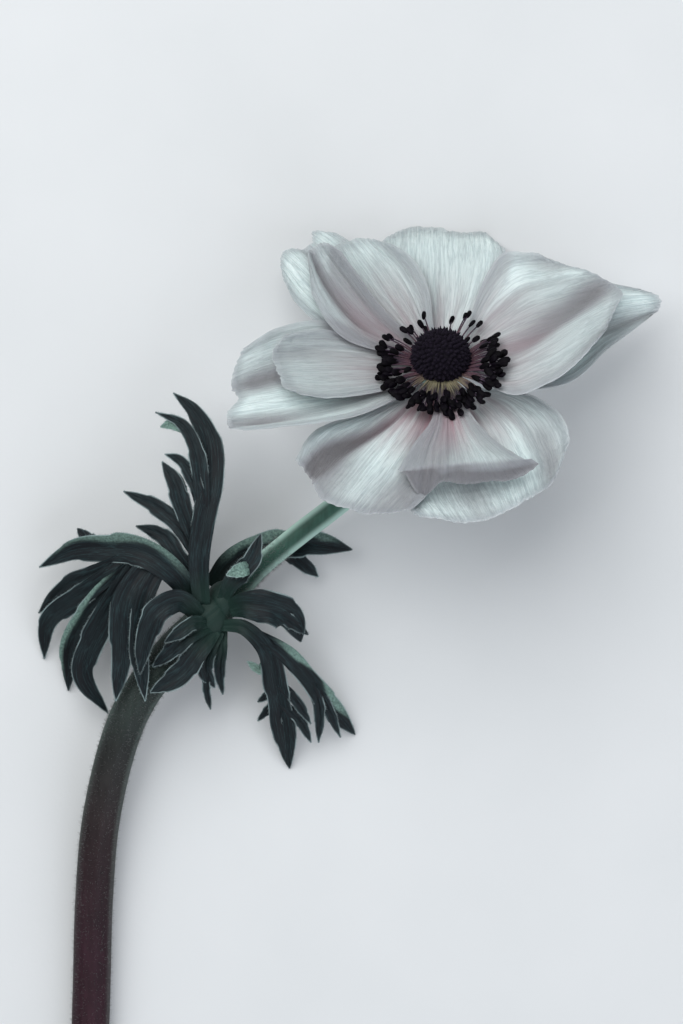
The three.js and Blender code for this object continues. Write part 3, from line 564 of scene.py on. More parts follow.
def spikes(roots, tips, width, sides=3):
    """Many closed three-sided spikes: a triangle of points round each root, joined to its tip."""
    way = unit(tips - roots)
    aside = unit(np.cross(way, [0.31, 0.55, 0.77]))
    ring = spokes(turns(sides), aside, np.cross(way, aside)) * width
    points = np.concatenate([roots[:, None] + ring, tips[:, None]], 1)
    base = np.arange(len(roots))[:, None] * (sides + 1)
    k = np.arange(sides)
    walls = [np.stack([base[:, 0] + a, base[:, 0] + (a + 1) % sides, base[:, 0] + sides], 1) for a in k]
    return points.reshape(-1, 3), [np.concatenate(walls), base + k[::-1]]


def piece(name, points, faces, material, slot, replaced=(), uv=None, **values):
    """Makes a mesh object in metres from points in the flower's frame, in mm, with smooth faces,
    a UV map and float attributes per point, hangs it from the root body and hides the imported parts
    that it replaces."""
    mesh = bpy.data.meshes.new(name)
    faces = [face for part in faces for face in part.tolist()]
    mesh.from_pydata(((points + FLOWER_ORIGIN) * MM).tolist(), [], faces)
    mesh.shade_smooth()
    if uv is not None:
        corner = np.empty(len(mesh.loops), int)
        mesh.loops.foreach_get("vertex_index", corner)
        mesh.uv_layers.new(name="UVMap").data.foreach_set("uv", uv[corner].ravel())
    for key, value in values.items():
        mesh.attributes.new(key, "FLOAT", "POINT").data.foreach_set("value", value)
    mesh.materials.append(material)
    item = bpy.data.objects.new(name, mesh)
    bpy.context.scene.collection.objects.link(item)
    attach(item, "root")
    if replaced:
        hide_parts(*replaced)
    return item


def midrib(spec):
    """Midrib of a petal: a path whose slope follows rise and whose heading turns by bend, summed step
    by step, with the directions to the left and up, rolled about it."""
    s = np.linspace(0, 1, MIDRIB_STEPS + 1)
    start = math.radians(spec["azimuth"])
    rise = np.radians(quad(s, spec["rise"]))
    if "hook" in spec:
        first, last, angle = spec["hook"]
        rise = rise - math.radians(angle) * smooth(first, last, s)
    head = start + math.radians(spec.get("bend", 0)) * s
    way = np.stack([np.cos(rise) * np.cos(head), np.cos(rise) * np.sin(head), np.sin(rise)], 1)
    root = [PETAL_ROOT_RADIUS * math.cos(start), PETAL_ROOT_RADIUS * math.sin(start) + WHORL_BACK]
    root = np.array([*root, spec["level"] - WHORL_DROP])
    steps = np.cumsum((way[1:] + way[:-1]) / 2 * spec["length"] / MIDRIB_STEPS, axis=0)
    flat = np.stack([-np.sin(head), np.cos(head), np.zeros_like(head)], 1)
    raised = np.cross(way, flat)
    roll = np.radians(quad(s, spec.get("roll", [0, 0, 0])))[:, None]
    side = flat * np.cos(roll) + raised * np.sin(roll)
    up = raised * np.cos(roll) - flat * np.sin(roll)
    return np.concatenate([[root], root + steps]), side, up


def petal_relief(spec, settings, seed, s, v, half):
    """Fine relief of a petal: ridges along its veins, waves that grow towards its margins and tip, and
    crinkles over its outer part."""
    loose = smooth(0.3, 0.95, s)
    drift = v + 0.03 * waves(seed + 2, s, 0.4, 1.6)
    ridges = settings.ridge * waves(seed + 3, drift, 2.5, 9, 10) * smooth(0.05, 0.4, s)
    sides = settings.wave * waves(seed + 4, s, 1.2, 4.5) * v**4 * loose
    tip = settings.wave * waves(seed + 5, v, 0.8, 3.2) * s**8
    fine = crinkle(seed + 6, v * half, s * spec["length"], CRINKLE_SIZE)
    return ridges + sides + tip + settings.crinkle * fine * loose


def petal_shape(spec, settings, seed):
    """Middle surface of a petal in the bloom's frame: a point goes s of the way along the midrib, less
    where the edge is short, and v of the half-width aside, on an arc that rolls both halves up. Pleats
    and a fine relief lift it along its normal. Returns it with these normals, the distance to the
    margin and to the root in mm, the depth by which its colour is greyed, which is painted shade of its
    folds and turned-down end and the greying of its outer half by dull, and s and v."""
    s, v = np.meshgrid(*crowded(PETAL_ROWS, PETAL_COLUMNS, 1.5), indexing="ij")
    shares = np.linspace(-1, 1, len(spec["edge"]))
    reach = through(shares, spec["edge"], v) + settings.ragged * waves(seed, v, 5, 24) * s**6
    short = (1 - reach) * s**1.5
    along = np.clip(s * (1 - short), 0, LONGEST_REACH) * MIDRIB_STEPS
    k = np.clip(along.astype(int), 0, MIDRIB_STEPS - 1)
    t = (along - k)[..., None]
    path, side, up = (part[k] * (1 - t) + part[k + 1] * t for part in midrib(spec))
    left, right = (through(STATIONS, [PETAL_ROOT_HALF, *spec[key]], s) for key in ("left", "right"))
    uneven = 0.6 * settings.ragged * waves(seed + 1, s, 3, 14) * smooth(0.3, 0.8, s)
    half = np.where(v > 0, left, right) * (1 + uneven)
    curl = np.radians(quad(s, spec["cup"]))
    curl = np.where(np.abs(curl) < 1e-3, 1e-3, curl)
    aside = half * np.sin(curl * v) / curl
    lift = half * (1 - np.cos(curl * v)) / curl
    normals = up * np.cos(curl * v)[..., None] - side * np.sin(curl * v)[..., None]
    pleats = sum(
        height
        * bell((v - place - slant * (s - PLEAT_PLACE)) / width)
        * smooth(start, full, s)
        * (1 - 0.4 * smooth(0.85, 1, s))
        for place, slant, width, height, start, full in spec["pleats"]
    )
    # Where rows or columns crowd at a corner, the relief is calm.
    calm = smooth(0, 0.5, 1 - 2.5 * short) * np.clip(half / CALM_HALF, 0, 1)
    rise = pleats + petal_relief(spec, settings, seed, s, v, half) * calm
    grid = path + side * aside[..., None] + up * lift[..., None] + normals * rise[..., None]
    # Depth by which the colour greys the petal: painted shade in its pleats' hollows and, deepest, on its
    # turned-down end and hanging corner; dull greys its outer half as well.
    fold_shade = pleats - spec.get("dull", 0) * smooth(0.4, 0.85, s)
    if "hook" in spec:
        first, last, _ = spec["hook"]
        share = along / MIDRIB_STEPS
        turned = smooth(first, last, share) + smooth(last, 0.96, share)
        fold_shade = fold_shade - TURNED_SHADE * turned * (1 + CORNER_SHADE * smooth(-0.3, -0.6, v))
    edge = np.minimum((1 - np.abs(v)) * half, (1 - s) * spec["length"])
    return dict(grid=grid, normals=normals, edge=edge, root=s * spec["length"], fold_shade=fold_shade, s=s, v=v)


def shadow_map(grid):
    """Where a petal covers the table, seen from above: a map of half-millimetre cells, filled from its
    surface's points, four times as dense as the grid."""
    for axis in (0, 1):
        middle = (np.delete(grid, 0, axis) + np.delete(grid, -1, axis)) / 2
        grid = np.concatenate([grid, middle], axis)
    cell = np.clip(((grid[..., :2] + MAP_REACH) / MAP_CELL).astype(int), 1, MAP_SIDE - 2)
    cover = np.zeros((MAP_SIDE, MAP_SIDE))
    cover[cell[..., 0].ravel(), cell[..., 1].ravel()] = 1
    return cover


def softened(cover):
    """A map blurred by averaging each cell with its neighbours, along both sides."""
    for axis in (0, 1):
        cover = (np.roll(cover, 1, axis) + cover + np.roll(cover, -1, axis)) / 3
    return cover


def petal_layers(shapes):
    """For every point of every petal, how many other petals lie straight over or under it: overlaps
    let less light through, so the colour greys them with painted shade."""
    maps = {name: softened(shadow_map(lean(shape["grid"]))) for name, shape in shapes.items()}
    total = sum(maps.values())
    for name, shape in shapes.items():
        at = np.clip((lean(shape["grid"])[..., :2] + MAP_REACH) / MAP_CELL - 0.5, 0, MAP_SIDE - 2)
        k = at.astype(int)
        t = at - k
        others = total - maps[name]
        # Each petal's dense value weighs how strongly its overlaps are painted with shade.
        shape["layers"] = PETALS[name].get("dense", 1) * sum(
            others[k[..., 0] + i, k[..., 1] + j] * abs(1 - i - t[..., 0]) * abs(1 - j - t[..., 1])
            for i in (0, 1)
            for j in (0, 1)
        )


def petal(name, shape, settings, material):
    """A petal's closed body: its surface leaned with the bloom and pressed up by the table, with a
    thickness that fades at the margin."""
    normals = lean(shape["normals"]) - lean(np.zeros(3))
    thickness = settings.thickness * (0.3 + 0.7 * smooth(0, THIN_MARGIN, shape["edge"]))
    points, faces = blade(press(lean(shape["grid"])), thickness, normals)
    uv = twice(np.stack([0.5 + shape["v"] / 2, shape["s"]], -1))
    x, y, _ = np.moveaxis(shape["grid"], -1, 0)
    off = np.arctan2(y - WHORL_BACK, x) - FLUSH_WAY
    front = bell(np.arctan2(np.sin(off), np.cos(off)) / FLUSH_SPREAD)
    shape["flush"] = (0.35 + 0.65 * front) * (0.55 + 0.45 * bell(shape["v"] / 0.45))
    # The inner petals' margins curl up over a wider strip, so for the painted shade of the curled rim
    # they count as nearer to the edge.
    shape["edge"] = shape["edge"] * (1.0 if "inner" in name else OUTER_RIM)
    values = {key: twice(shape[key]) for key in ("edge", "root", "fold_shade", "layers", "flush")}
    piece(name + "_skin", points, [faces], material, "petal", [name], uv, **values)


def silken_petal(settings):
    """Living petal tissue, thin, moist and matt, through which light passes. Its colour is greyed with
    painted shade where petals overlap, in its hollows, where its end turns down and where its margin
    curls up. Fine veins run along it, and it is flushed pink near its root."""
    material, node = blank_material("petal_tissue")
    uv = node("UVMap", uv_map="UVMap")
    place = node("TexCoord", out="Object")
    edge, root, fold_shade, layers, flush = (
        node("Attribute", attribute_name=name, out="Fac")
        for name in ("edge", "root", "fold_shade", "layers", "flush")
    )
    # Veins about 0.9 mm apart at the middle of a petal, silky fibres of 0.16 mm, and broad bands.
    lines, threads, broad = (
        node("Mapping", {"Vector": uv, "Scale": scale})
        for scale in ((34.0, 2.6, 1.0), (150.0, 6.0, 1.0), (11.0, 1.3, 1.0))
    )
    veins = node("TexNoise", {"Vector": lines, "Scale": 1.0, "Detail": 3.0, "Roughness": 0.55})
    fibres = node("TexNoise", {"Vector": threads, "Scale": 1.0, "Detail": 3.0, "Roughness": 0.6})
    bands = node("TexNoise", {"Vector": broad, "Scale": 1.0, "Detail": 2.0})
    # Wrinkles of the drying outer part, 1.2 mm apart.
    wrinkle = node("TexNoise", {"Vector": place, "Scale": 850.0, "Detail": 3.0, "Distortion": 0.8})
    offset = node("Math", {0: veins, 1: 0.5}, operation="SUBTRACT")
    away = node("Math", {0: offset}, operation="ABSOLUTE")
    vein = node("MapRange", {"Value": away, 1: 0.0, 2: 0.07, 3: 1.0, 4: 0.0})
    silk = node("MapRange", {"Value": fibres, 1: 0.35, 2: 0.68, 3: 0.0, 4: 0.54})
    drawn = node("Math", {0: vein, 1: 0.42}, operation="MULTIPLY")
    grey = node("MapRange", {"Value": bands, 1: 0.3, 2: 0.75, 3: 0.0, 4: 0.3})
    # Masks of painted shade in the hollows and, darker, on the turned-down end, the reach of the pink flush
    # from the root, and painted shade of the curled rim.
    hollow_shade, turned, warm, thin = (
        node("MapRange", {"Value": value, 1: low, 2: high, 3: most, 4: 0.0}, interpolation_type="SMOOTHSTEP")
        for value, low, high, most in (
            (fold_shade, -1.6, 0.4, 0.85),
            (fold_shade, -2.2, -1.1, 0.7),
            (root, 5.0, 26.0, 1.0),
            (edge, 0.3, 4.6, 0.55),
        )
    )
    # Painted shade where other petals lie over or under a point, left off the turned-down end.
    overlap_shade = node("MapRange", {"Value": layers, 1: 0.0, 2: 2.0, 3: 0.0, 4: 0.8})
    lower = node("Math", {0: 1.0, 1: turned}, operation="SUBTRACT")
    shaded = node("Math", {0: overlap_shade, 1: lower}, operation="MULTIPLY")
    streaks = node("MapRange", {"Value": bands, 1: 0.3, 2: 0.7, 3: 0.5, 4: 1.3})
    patchy = node("Math", {0: warm, 1: streaks}, operation="MULTIPLY")
    pink = node("Math", {0: patchy, 1: flush}, operation="MULTIPLY", use_clamp=True)
    # Painted shade of the curled rim, left off the turned-down end.
    rim_shade = node("Math", {0: thin, 1: lower}, operation="MULTIPLY")
    tone = settings.tissue_colour
    for cover, colour in (
        (silk, settings.fibre_colour),
        (drawn, settings.vein_colour),
        (grey, settings.shade_colour),
        (hollow_shade, settings.shade_colour),
        (turned, settings.deep_shade_colour),
        (shaded, settings.shade_colour),
        (pink, settings.flush_colour),
        (rim_shade, settings.rim_shade_colour),
    ):
        tone = node("Mix", {0: cover, 6: tone, 7: colour}, data_type="RGBA")
    far = node("MapRange", {"Value": root, 1: 14.0, 2: 32.0, 3: 0.0, 4: 1.0})
    crumple = node("Math", {0: wrinkle, 1: far}, operation="MULTIPLY")
    relief = node("Bump", {"Height": veins, "Strength": 0.8, "Distance": 0.0005})
    for height, distance in ((fibres, 0.00018), (crumple, 0.0004)):
        relief = node("Bump", {"Height": height, "Normal": relief, "Strength": 0.6, "Distance": distance})
    shader = node(
        "BsdfPrincipled",
        {
            "Base Color": tone,
            "Roughness": node("MapRange", {"Value": fibres, 3: 0.45, 4: 0.65}),
            "IOR": 1.4,
            "Normal": relief,
            "Subsurface Weight": 0.85,
            "Subsurface Radius": (1.0, 0.95, 0.95),
            "Subsurface Scale": 0.001,
            "Sheen Weight": 0.15,
            "Sheen Roughness": 0.4,
        },
    )
    node("OutputMaterial", {"Surface": shader})
    return material


def filaments(settings, material, azimuth, root, tip, bow):
    """Filaments from root to tip, each in a slight arc as high as bow, on the rounded disc that bears
    them. Attributes tell how far along a filament a point lies, and how low on the bloom."""
    s = np.linspace(0, 1, 9)
    arc = np.sin(np.pi * s)[None, :, None] * bow[:, None, None] * UP
    path = root[:, None] + (tip - root)[:, None] * s[None, :, None] + arc
    radii = np.broadcast_to(settings.filament_radius * (1.25 - 0.45 * s), path.shape[:2])
    sides = 6
    points, faces = many_tubes(round_rings(lean(path), radii, sides))
    along = np.tile([*np.repeat(s, sides), 0, 1], len(path))
    low = np.repeat(smooth(-0.55, -1.0, np.sin(azimuth)), len(s) * sides + 2)
    radii = DISC_RADIUS + np.array([-0.35, -0.05, 0.05, 0.0, -0.35, -1.2])
    heights = np.array([DISC_FOOT, -1.55, -1.3, -1.05, DISC_TOP, DISC_TOP + 0.05])
    disc_points, disc_faces = tube(lean(lathe(radii, heights, 72)), len(points))
    points = np.concatenate([points, disc_points])
    along = np.concatenate([along, np.zeros(len(disc_points))])
    low = np.concatenate([low, np.full(len(disc_points), 0.6)])
    piece("filaments", points, faces + disc_faces, material, "stamen", along=along, low=low)


def stamens(settings, filament_material, anther_material):
    """Stamens at golden turns, further out the later: each filament rises at its own slope, and
    carries an anther, a flattened spindle with a furrow between its two halves."""
    draw = np.random.default_rng(STAMEN_SEED)
    count = settings.stamen_count
    i = np.arange(count)
    azimuth = i * GOLDEN_TURN + draw.normal(0, 0.05, count)
    azimuth = azimuth - SIDE_CROWDING * np.cos(azimuth)
    share = np.sqrt((i + 0.5) / count)
    kept = draw.uniform(0, 1, count) > BACK_THINNED * smooth(-0.3, 0.7, np.sin(azimuth))
    azimuth, share = azimuth[kept], share[kept]
    count = len(azimuth)
    reach = (STAMEN_INNER + (STAMEN_OUTER - STAMEN_INNER) * share) * (1 - 0.1 * np.sin(azimuth))
    reach = reach + 0.5 * smooth(0.1, -0.8, np.sin(azimuth))
    reach = reach + draw.normal(0, 0.4, count)
    near_right = bell((1 - np.cos(azimuth + math.radians(15))) / 0.2)
    rise = 15 + 9 * np.sin(azimuth) + 14 * (1 - share) + 9 * near_right + draw.normal(0, 2.0, count)
    rise = np.radians(rise)
    out = np.stack([np.cos(azimuth), np.sin(azimuth), np.zeros(count)], 1)
    way = out * np.cos(rise)[:, None] + UP * np.sin(rise)[:, None]
    root = out * (DISC_RADIUS - ROOT_DEPTH) + UP * (DISC_FOOT + DISC_TOP) / 2
    span = (reach - DISC_RADIUS + ROOT_DEPTH) / np.cos(rise)
    small = 1 - BACK_SMALLER * smooth(-0.2, 0.8, np.sin(azimuth))
    length = settings.anther_length * draw.uniform(0.85, 1.12, count) * small
    tip = root + way * (span - 0.5 * length)[:, None]
    filaments(settings, filament_material, azimuth, root, tip, span * FILAMENT_BOW)

    sway = unit(way + draw.normal(0, 0.2, (count, 3)))
    u = np.linspace(-1, 1, 11)
    centre = tip + way * 0.15
    spine = lean(centre[:, None] + sway[:, None] * (u * 0.5)[None, :, None] * length[:, None, None])
    body = np.sqrt(np.maximum(1 - np.abs(u) ** 2.4, 0)) * (0.97 + 0.16 * u) + 0.06
    turn = turns(14) + np.pi / 2
    axis = unit(np.gradient(spine, axis=1))
    facing = np.array([0, math.sin(TILT), math.cos(TILT)]) + draw.normal(0, 0.45, (count, 3))
    aside = unit(np.cross(unit(facing)[:, None], axis))
    wide = settings.anther_radius * body[:, None] * (1 - ANTHER_FURROW * np.abs(np.sin(turn)) ** 6)
    wide = wide * (draw.uniform(0.85, 1.1, count) * small)[:, None, None]
    rings = spine[:, :, None] + spokes(turn, aside, ANTHER_FLAT * np.cross(axis, aside)) * wide[..., None]
    piece("anthers", *many_tubes(rings), anther_material, "stamen", ["stamens"])


def carpel_head(settings, material):
    """Dome of small carpels at golden turns: each is a drop with a rounded top and a short bent style,
    standing square to a core of slightly smaller radius."""
    draw = np.random.default_rng(CARPEL_SEED)
    count = settings.carpel_count
    i = np.arange(count)
    lowest = -0.2
    height = lowest + (1 - lowest) * (i + 0.5) / count
    azimuth = i * GOLDEN_TURN
    flat = np.sqrt(1 - height**2)
    out = np.stack([flat * np.cos(azimuth), flat * np.sin(azimuth), height], 1)
    out = unit(out + draw.normal(0, 0.03, (count, 3)))
    u = np.linspace(0, 1, 8)
    profile = CARPEL_RADIUS * np.array([0.75, 0.95, 1.0, 0.95, 0.78, 0.5, 0.3, 0.12])
    climb = np.array([-1.1, -0.7, -0.35, 0.0, 0.3, 0.48, 0.72, 1.0])
    reach = HEAD_RADIUS - 0.55 + climb * draw.uniform(0.5, 0.85, count)[:, None]
    bend = draw.normal(0, 0.16, (count, 3)) * 1.6
    path = out[:, None] * reach[..., None] + bend[:, None] * (np.maximum(u - 0.5, 0) ** 1.5)[:, None]
    aside = unit(np.cross(out, [0.2, 0.3, 0.93]))
    ring = spokes(turns(8), aside, np.cross(out, aside))[:, None]
    points, faces = many_tubes(lean(path[:, :, None] + ring * profile[:, None, None]))
    climb = np.linspace(math.asin(-0.06), math.pi / 2 * 0.98, 18)
    core = lathe(CORE_RADIUS * np.cos(climb), CORE_RADIUS * np.sin(climb), 48)
    core_points, core_faces = tube(lean(core), len(points))
    tip = np.concatenate([np.tile([*np.repeat(u, 8), 0, 1], count), np.zeros(len(core_points))])
    points = np.concatenate([points, core_points])
    piece("carpels", points, faces + core_faces, material, "carpel", ["carpel_head"], tip=tip)


def velvet_carpels():
    """Unripe carpels under short down: a nearly black violet that shines softly only at grazing light."""
    material, node = blank_material("carpel_down")
    place = node("TexCoord", out="Object")
    tip = node("Attribute", attribute_name="tip", out="Fac")
    # Down drawn 0.25 mm apart.
    down = node("TexNoise", {"Vector": place, "Scale": 4000.0, "Detail": 3.0, "Roughness": 0.7})
    patch = node("TexNoise", {"Vector": place, "Scale": 500.0, "Detail": 1.0})
    tone = node("Mix", {0: patch, 6: linear("#06030a"), 7: linear("#0e0815")}, data_type="RGBA")
    pale = node("MapRange", {"Value": tip, 1: 0.55, 2: 1.0, 3: 0.0, 4: 0.3})
    dusty = node("Mix", {0: pale, 6: tone, 7: linear("#22182b")}, data_type="RGBA")
    shader = node(
        "BsdfPrincipled",
        {
            "Base Color": dusty,
            "Roughness": node("MapRange", {"Value": down, 3: 0.7, 4: 0.95}),
            "IOR": 1.4,
            "Specular IOR Level": 0.25,
            "Normal": node("Bump", {"Height": down, "Strength": 0.6, "Distance": 0.00015}),
            "Sheen Weight": 0.12,
            "Sheen Roughness": 0.5,
            "Sheen Tint": linear("#6c5a80"),
        },
    )
    node("OutputMaterial", {"Surface": shader})
    return material


def anther_skin():
    """Ripe anthers: blue-black, matt and powdery, with a faint shine on their rounded halves."""
    material, node = blank_material("anther_pollen_coat")
    place = node("TexCoord", out="Object")
    # Pollen grains clumped 0.2 mm apart.
    grain = node("TexNoise", {"Vector": place, "Scale": 5000.0, "Detail": 2.0, "Roughness": 0.6})
    clump = node("TexNoise", {"Vector": place, "Scale": 700.0, "Detail": 1.0})
    mixed = node("MapRange", {"Value": clump, 1: 0.35, 2: 0.7})
    tone = node("Mix", {0: mixed, 6: linear("#020103"), 7: linear("#09050d")}, data_type="RGBA")
    shader = node(
        "BsdfPrincipled",
        {
            "Base Color": tone,
            "Roughness": node("MapRange", {"Value": grain, 3: 0.45, 4: 0.75}),
            "IOR": 1.42,
            "Specular IOR Level": 0.1,
            "Normal": node("Bump", {"Height": grain, "Strength": 0.5, "Distance": 0.00012}),
        },
    )
    node("OutputMaterial", {"Surface": shader})
    return material


def filament_tissue():
    """Fleshy stamen threads: cream at the root, most of all on the lower side, and violet-black above."""
    material, node = blank_material("filament_flesh")
    along, low = (node("Attribute", attribute_name=name, out="Fac") for name in ("along", "low"))
    place = node("TexCoord", out="Object")
    # Streaks 0.4 mm apart.
    streak = node("TexNoise", {"Vector": place, "Scale": 2500.0, "Detail": 2.0})
    cream = node("Mix", {0: low, 6: linear("#5d444e"), 7: linear("#807a63")}, data_type="RGBA")
    spread = node("MapRange", {"Value": streak, 3: -0.12, 4: 0.12})
    shifted = node("Math", {0: along, 1: spread}, operation="ADD")
    dark = node("MapRange", {"Value": shifted, 1: 0.3, 2: 0.85}, interpolation_type="SMOOTHSTEP")
    shader = node(
        "BsdfPrincipled",
        {
            "Base Color": node("Mix", {0: dark, 6: cream, 7: linear("#2b1d30")}, data_type="RGBA"),
            "Roughness": node("MapRange", {"Value": streak, 3: 0.4, 4: 0.6}),
            "IOR": 1.4,
            "Subsurface Weight": 0.3,
            "Subsurface Radius": (1.0, 0.8, 0.6),
            "Subsurface Scale": 0.0004,
        },
    )
    node("OutputMaterial", {"Surface": shader})
    return material


def axis_point(h):
    """Point of the bloom's axis h above the middle of the carpel head, in the flower's frame."""
    return lean(np.array([0.0, WHORL_BACK, h]))


# Stations of the stem's middle from the cut end up, and its radius at each. The part's stem has
# twelve sides and lies on one of them, which sets the height of its middle.
FOOT_HEIGHT = SCAPE_RADIUS * math.cos(math.pi / 12)
STEM_POINTS = np.array([
    (-71.5, -180, FOOT_HEIGHT), (-71.5, -163, FOOT_HEIGHT), (-71.5, -146, FOOT_HEIGHT),
    (-71, -127, 4.1), (-70.5, -110, 5), (-69, -93.5, 6.7), (-65, -77, 9), (-61.5, -69, 10.2),
    (-56.5, -62, 11.4), (-51, -56, 12.3), HUB, (-41, -46.2, 12.9), (-36, -41.4, 12.8),
    (-28.2, -35, 12.6), (-20.4, -29, 12.4), (-12, -21.6, 12.2), (-4.8, -14.4, 12.9), (-1, -8.6, 15),
    *(axis_point(h) for h in RECEPTACLE_HEIGHTS),
])
STEM_RADII = [SCAPE_RADIUS] * 10 + [3.5, 2.8] + [STALK_RADIUS] * 5 + [2.5, 3.4, 4.15, 4.15, 3.85]
LAST_STATION = len(STEM_POINTS) - 1
STRAIGHT_STATIONS = 2


def stem_path(t):
    """Middle of the stem, its direction and radius at shares t of the stations. It lies flat and
    straight over the first two gaps."""
    centre, way = catmull(STEM_POINTS, t)
    straight = t * LAST_STATION <= STRAIGHT_STATIONS
    centre[straight, 0], centre[straight, 2] = STEM_POINTS[0][0], FOOT_HEIGHT
    way[straight] = (0.0, 1.0, 0.0)
    return centre, way, through(np.arange(LAST_STATION + 1), STEM_RADII, t * LAST_STATION)


# Distances from the leaves' place along the stem, and the shares of the stations there.
HUB_SHARES = np.linspace(8.5, 12.5, 41) / LAST_STATION
HUB_REACH = ((stem_path(HUB_SHARES)[0] - HUB) @ HUB_WAY, HUB_SHARES)


def stem_frame(way):
    """Directions to the side and up of the stem, square to its way."""
    side = np.cross(UP, way)
    side = unit(np.where(norm(side) < 0.2, [1.0, 0.0, 0.0], side))
    return side, np.cross(way, side)


def stem(settings, material):
    """Stem: rings along its curve, with shallow ribs, each point radius away at its turn. The cut end
    slants, and the inner rings there sink a little."""
    t = np.linspace(0, 1, STEM_ROWS + 1)
    centre, way, radius = stem_path(t)
    side, up = stem_frame(way)
    turn = -turns(STEM_SIDES)
    scape = smooth(0.6, 0.45, t)[:, None]
    ribs = 1 + settings.rib * np.cos(RIBS * turn) * scape + 0.008 * np.cos(3 * turn + 30 * t[:, None])
    r = radius[:, None] * ribs
    slant = CUT_SLANT * smooth(0.02, 0, t)[:, None]
    rings = (
        centre[:, None]
        - side[:, None] * (r * np.cos(turn))[..., None]
        + up[:, None] * (r * np.sin(turn))[..., None]
        - way[:, None] * (slant * r * np.sin(turn))[..., None]
    )
    # Inner rings of the cut: shrinking copies of the first, sunk towards the middle.
    cut = np.array([0.1, 0.35, 0.6, 0.82, 0.93])[:, None, None]
    sunk = np.array([0.45, 0.4, 0.3, 0.12, 0.0])[:, None, None] * np.array([0.0, 1.0, 0.0])
    inner = centre[0] + (rings[0] - centre[0]) * cut + sunk
    rings = np.concatenate([inner, rings])[:, ::-1]
    rings[..., 2] = np.maximum(rings[..., 2], 0.0)
    points, faces = tube(rings)
    fresh = np.concatenate([np.ones(len(cut)), np.zeros(len(t))])
    share = np.concatenate([np.zeros(len(cut)), t])
    flesh = np.concatenate([np.repeat(fresh, STEM_SIDES), [1.0, 0.0]])
    share = np.concatenate([np.repeat(share, STEM_SIDES), [0.0, 1.0]])
    # Painted highlight along both flanks: strong on the smooth stalk, faint on the hairy scape and none at
    # the cut end.
    flank = np.concatenate([np.tile(np.abs(np.cos(turn[::-1])), len(rings)), [0.0, 0.0]])
    upper = smooth(0.5, 0.57, share)
    wax = 0.8 * upper * smooth(0.35, 0.95, flank)
    wax = wax + 0.08 * smooth(0.05, 0.35, share) * (1 - upper) * smooth(0.7, 1.0, flank)
    piece("stem_skin", points, faces, material, "stem", ["stem"], flesh=flesh, share=share, wax=wax)


def stem_hairs(settings, material):
    """Short hairs that stand out of the stem's lower part, each a little aslant."""
    draw = np.random.default_rng(HAIR_SEED)
    count = settings.hair_count
    centre, way, radius = stem_path(draw.uniform(*HAIRY_PART, count))
    side, up = stem_frame(way)
    turn = draw.uniform(0, 2 * np.pi, count)
    out = side * np.cos(turn)[:, None] + up * np.sin(turn)[:, None]
    roots = centre + out * (radius * 0.985)[:, None]
    aslant = unit(out + way * draw.normal(0.25, 0.35, count)[:, None] + draw.normal(0, 0.22, (count, 3)))
    tips = roots + aslant * (settings.hair_length * draw.uniform(0.45, 1.2, count))[:, None]
    keep = (roots[:, 2] > 0.25) & (tips[:, 2] > 0.05)
    piece("stem_hairs", *spikes(roots[keep], tips[keep], settings.hair_radius), material, "stem")


def stem_skin_material(settings):
    """Hairy scape, fleshy and ribbed: maroon low down, green-brown by the leaves. The flower stalk
    above is smooth, softly sheened and pale blue-green, with a pale painted highlight along both flanks
    that is faint on the scape, and the cut shows pale wet pith."""
    material, node = blank_material("stem_skin")
    share, flesh, wax = (
        node("Attribute", attribute_name=name, out="Fac") for name in ("share", "flesh", "wax")
    )
    place = node("TexCoord", out="Object")
    stretched = node("Mapping", {"Vector": place, "Scale": (1.0, 0.14, 1.0)})
    # Fibres 0.7 mm apart along the stem, and mottles of 6 mm.
    fibre = node("TexNoise", {"Vector": stretched, "Scale": 1400.0, "Detail": 3.0})
    mottle = node("TexNoise", {"Vector": place, "Scale": 160.0, "Detail": 2.0})
    stops = (
        (0.0, settings.low_colour),
        (0.16, linear("#2a151e")),
        (0.23, linear("#261c1e")),
        (0.3, linear("#232a28")),
        (0.47, linear("#2b3a35")),
        (0.57, settings.stalk_colour),
        (1.0, linear("#375549")),
    )
    ramp = node("ValToRGB", {"Fac": share}, stops)
    shade = node("MapRange", {"Value": mottle, 1: 0.3, 2: 0.7, 3: 0.75, 4: 1.2})
    fine = node("MapRange", {"Value": fibre, 1: 0.35, 2: 0.65, 3: 0.85, 4: 1.12})
    level = node("Math", {0: shade, 1: fine}, operation="MULTIPLY")
    tone = node("Mix", {0: 1.0, 6: ramp, 7: level}, data_type="RGBA", blend_type="MULTIPLY")
    # Painted highlight: the flanks are mixed towards a pale mint.
    waxy = node("Mix", {0: wax, 6: tone, 7: linear("#aecdc2")}, data_type="RGBA")
    shader = node(
        "BsdfPrincipled",
        {
            "Base Color": node("Mix", {0: flesh, 6: waxy, 7: linear("#a9b58a")}, data_type="RGBA"),
            "Roughness": node("MapRange", {"Value": fibre, 3: 0.42, 4: 0.62}),
            "IOR": 1.42,
            "Specular IOR Level": 0.25,
            "Normal": node("Bump", {"Height": fibre, "Strength": 0.5, "Distance": 0.0002}),
            "Subsurface Weight": 0.15,
            "Subsurface Radius": (0.8, 1.0, 0.7),
            "Subsurface Scale": 0.001,
            "Sheen Weight": 0.2,
            "Sheen Roughness": 0.3,
            "Sheen Tint": linear("#a9c4b8"),
        },
    )
    node("OutputMaterial", {"Surface": shader})
    return material


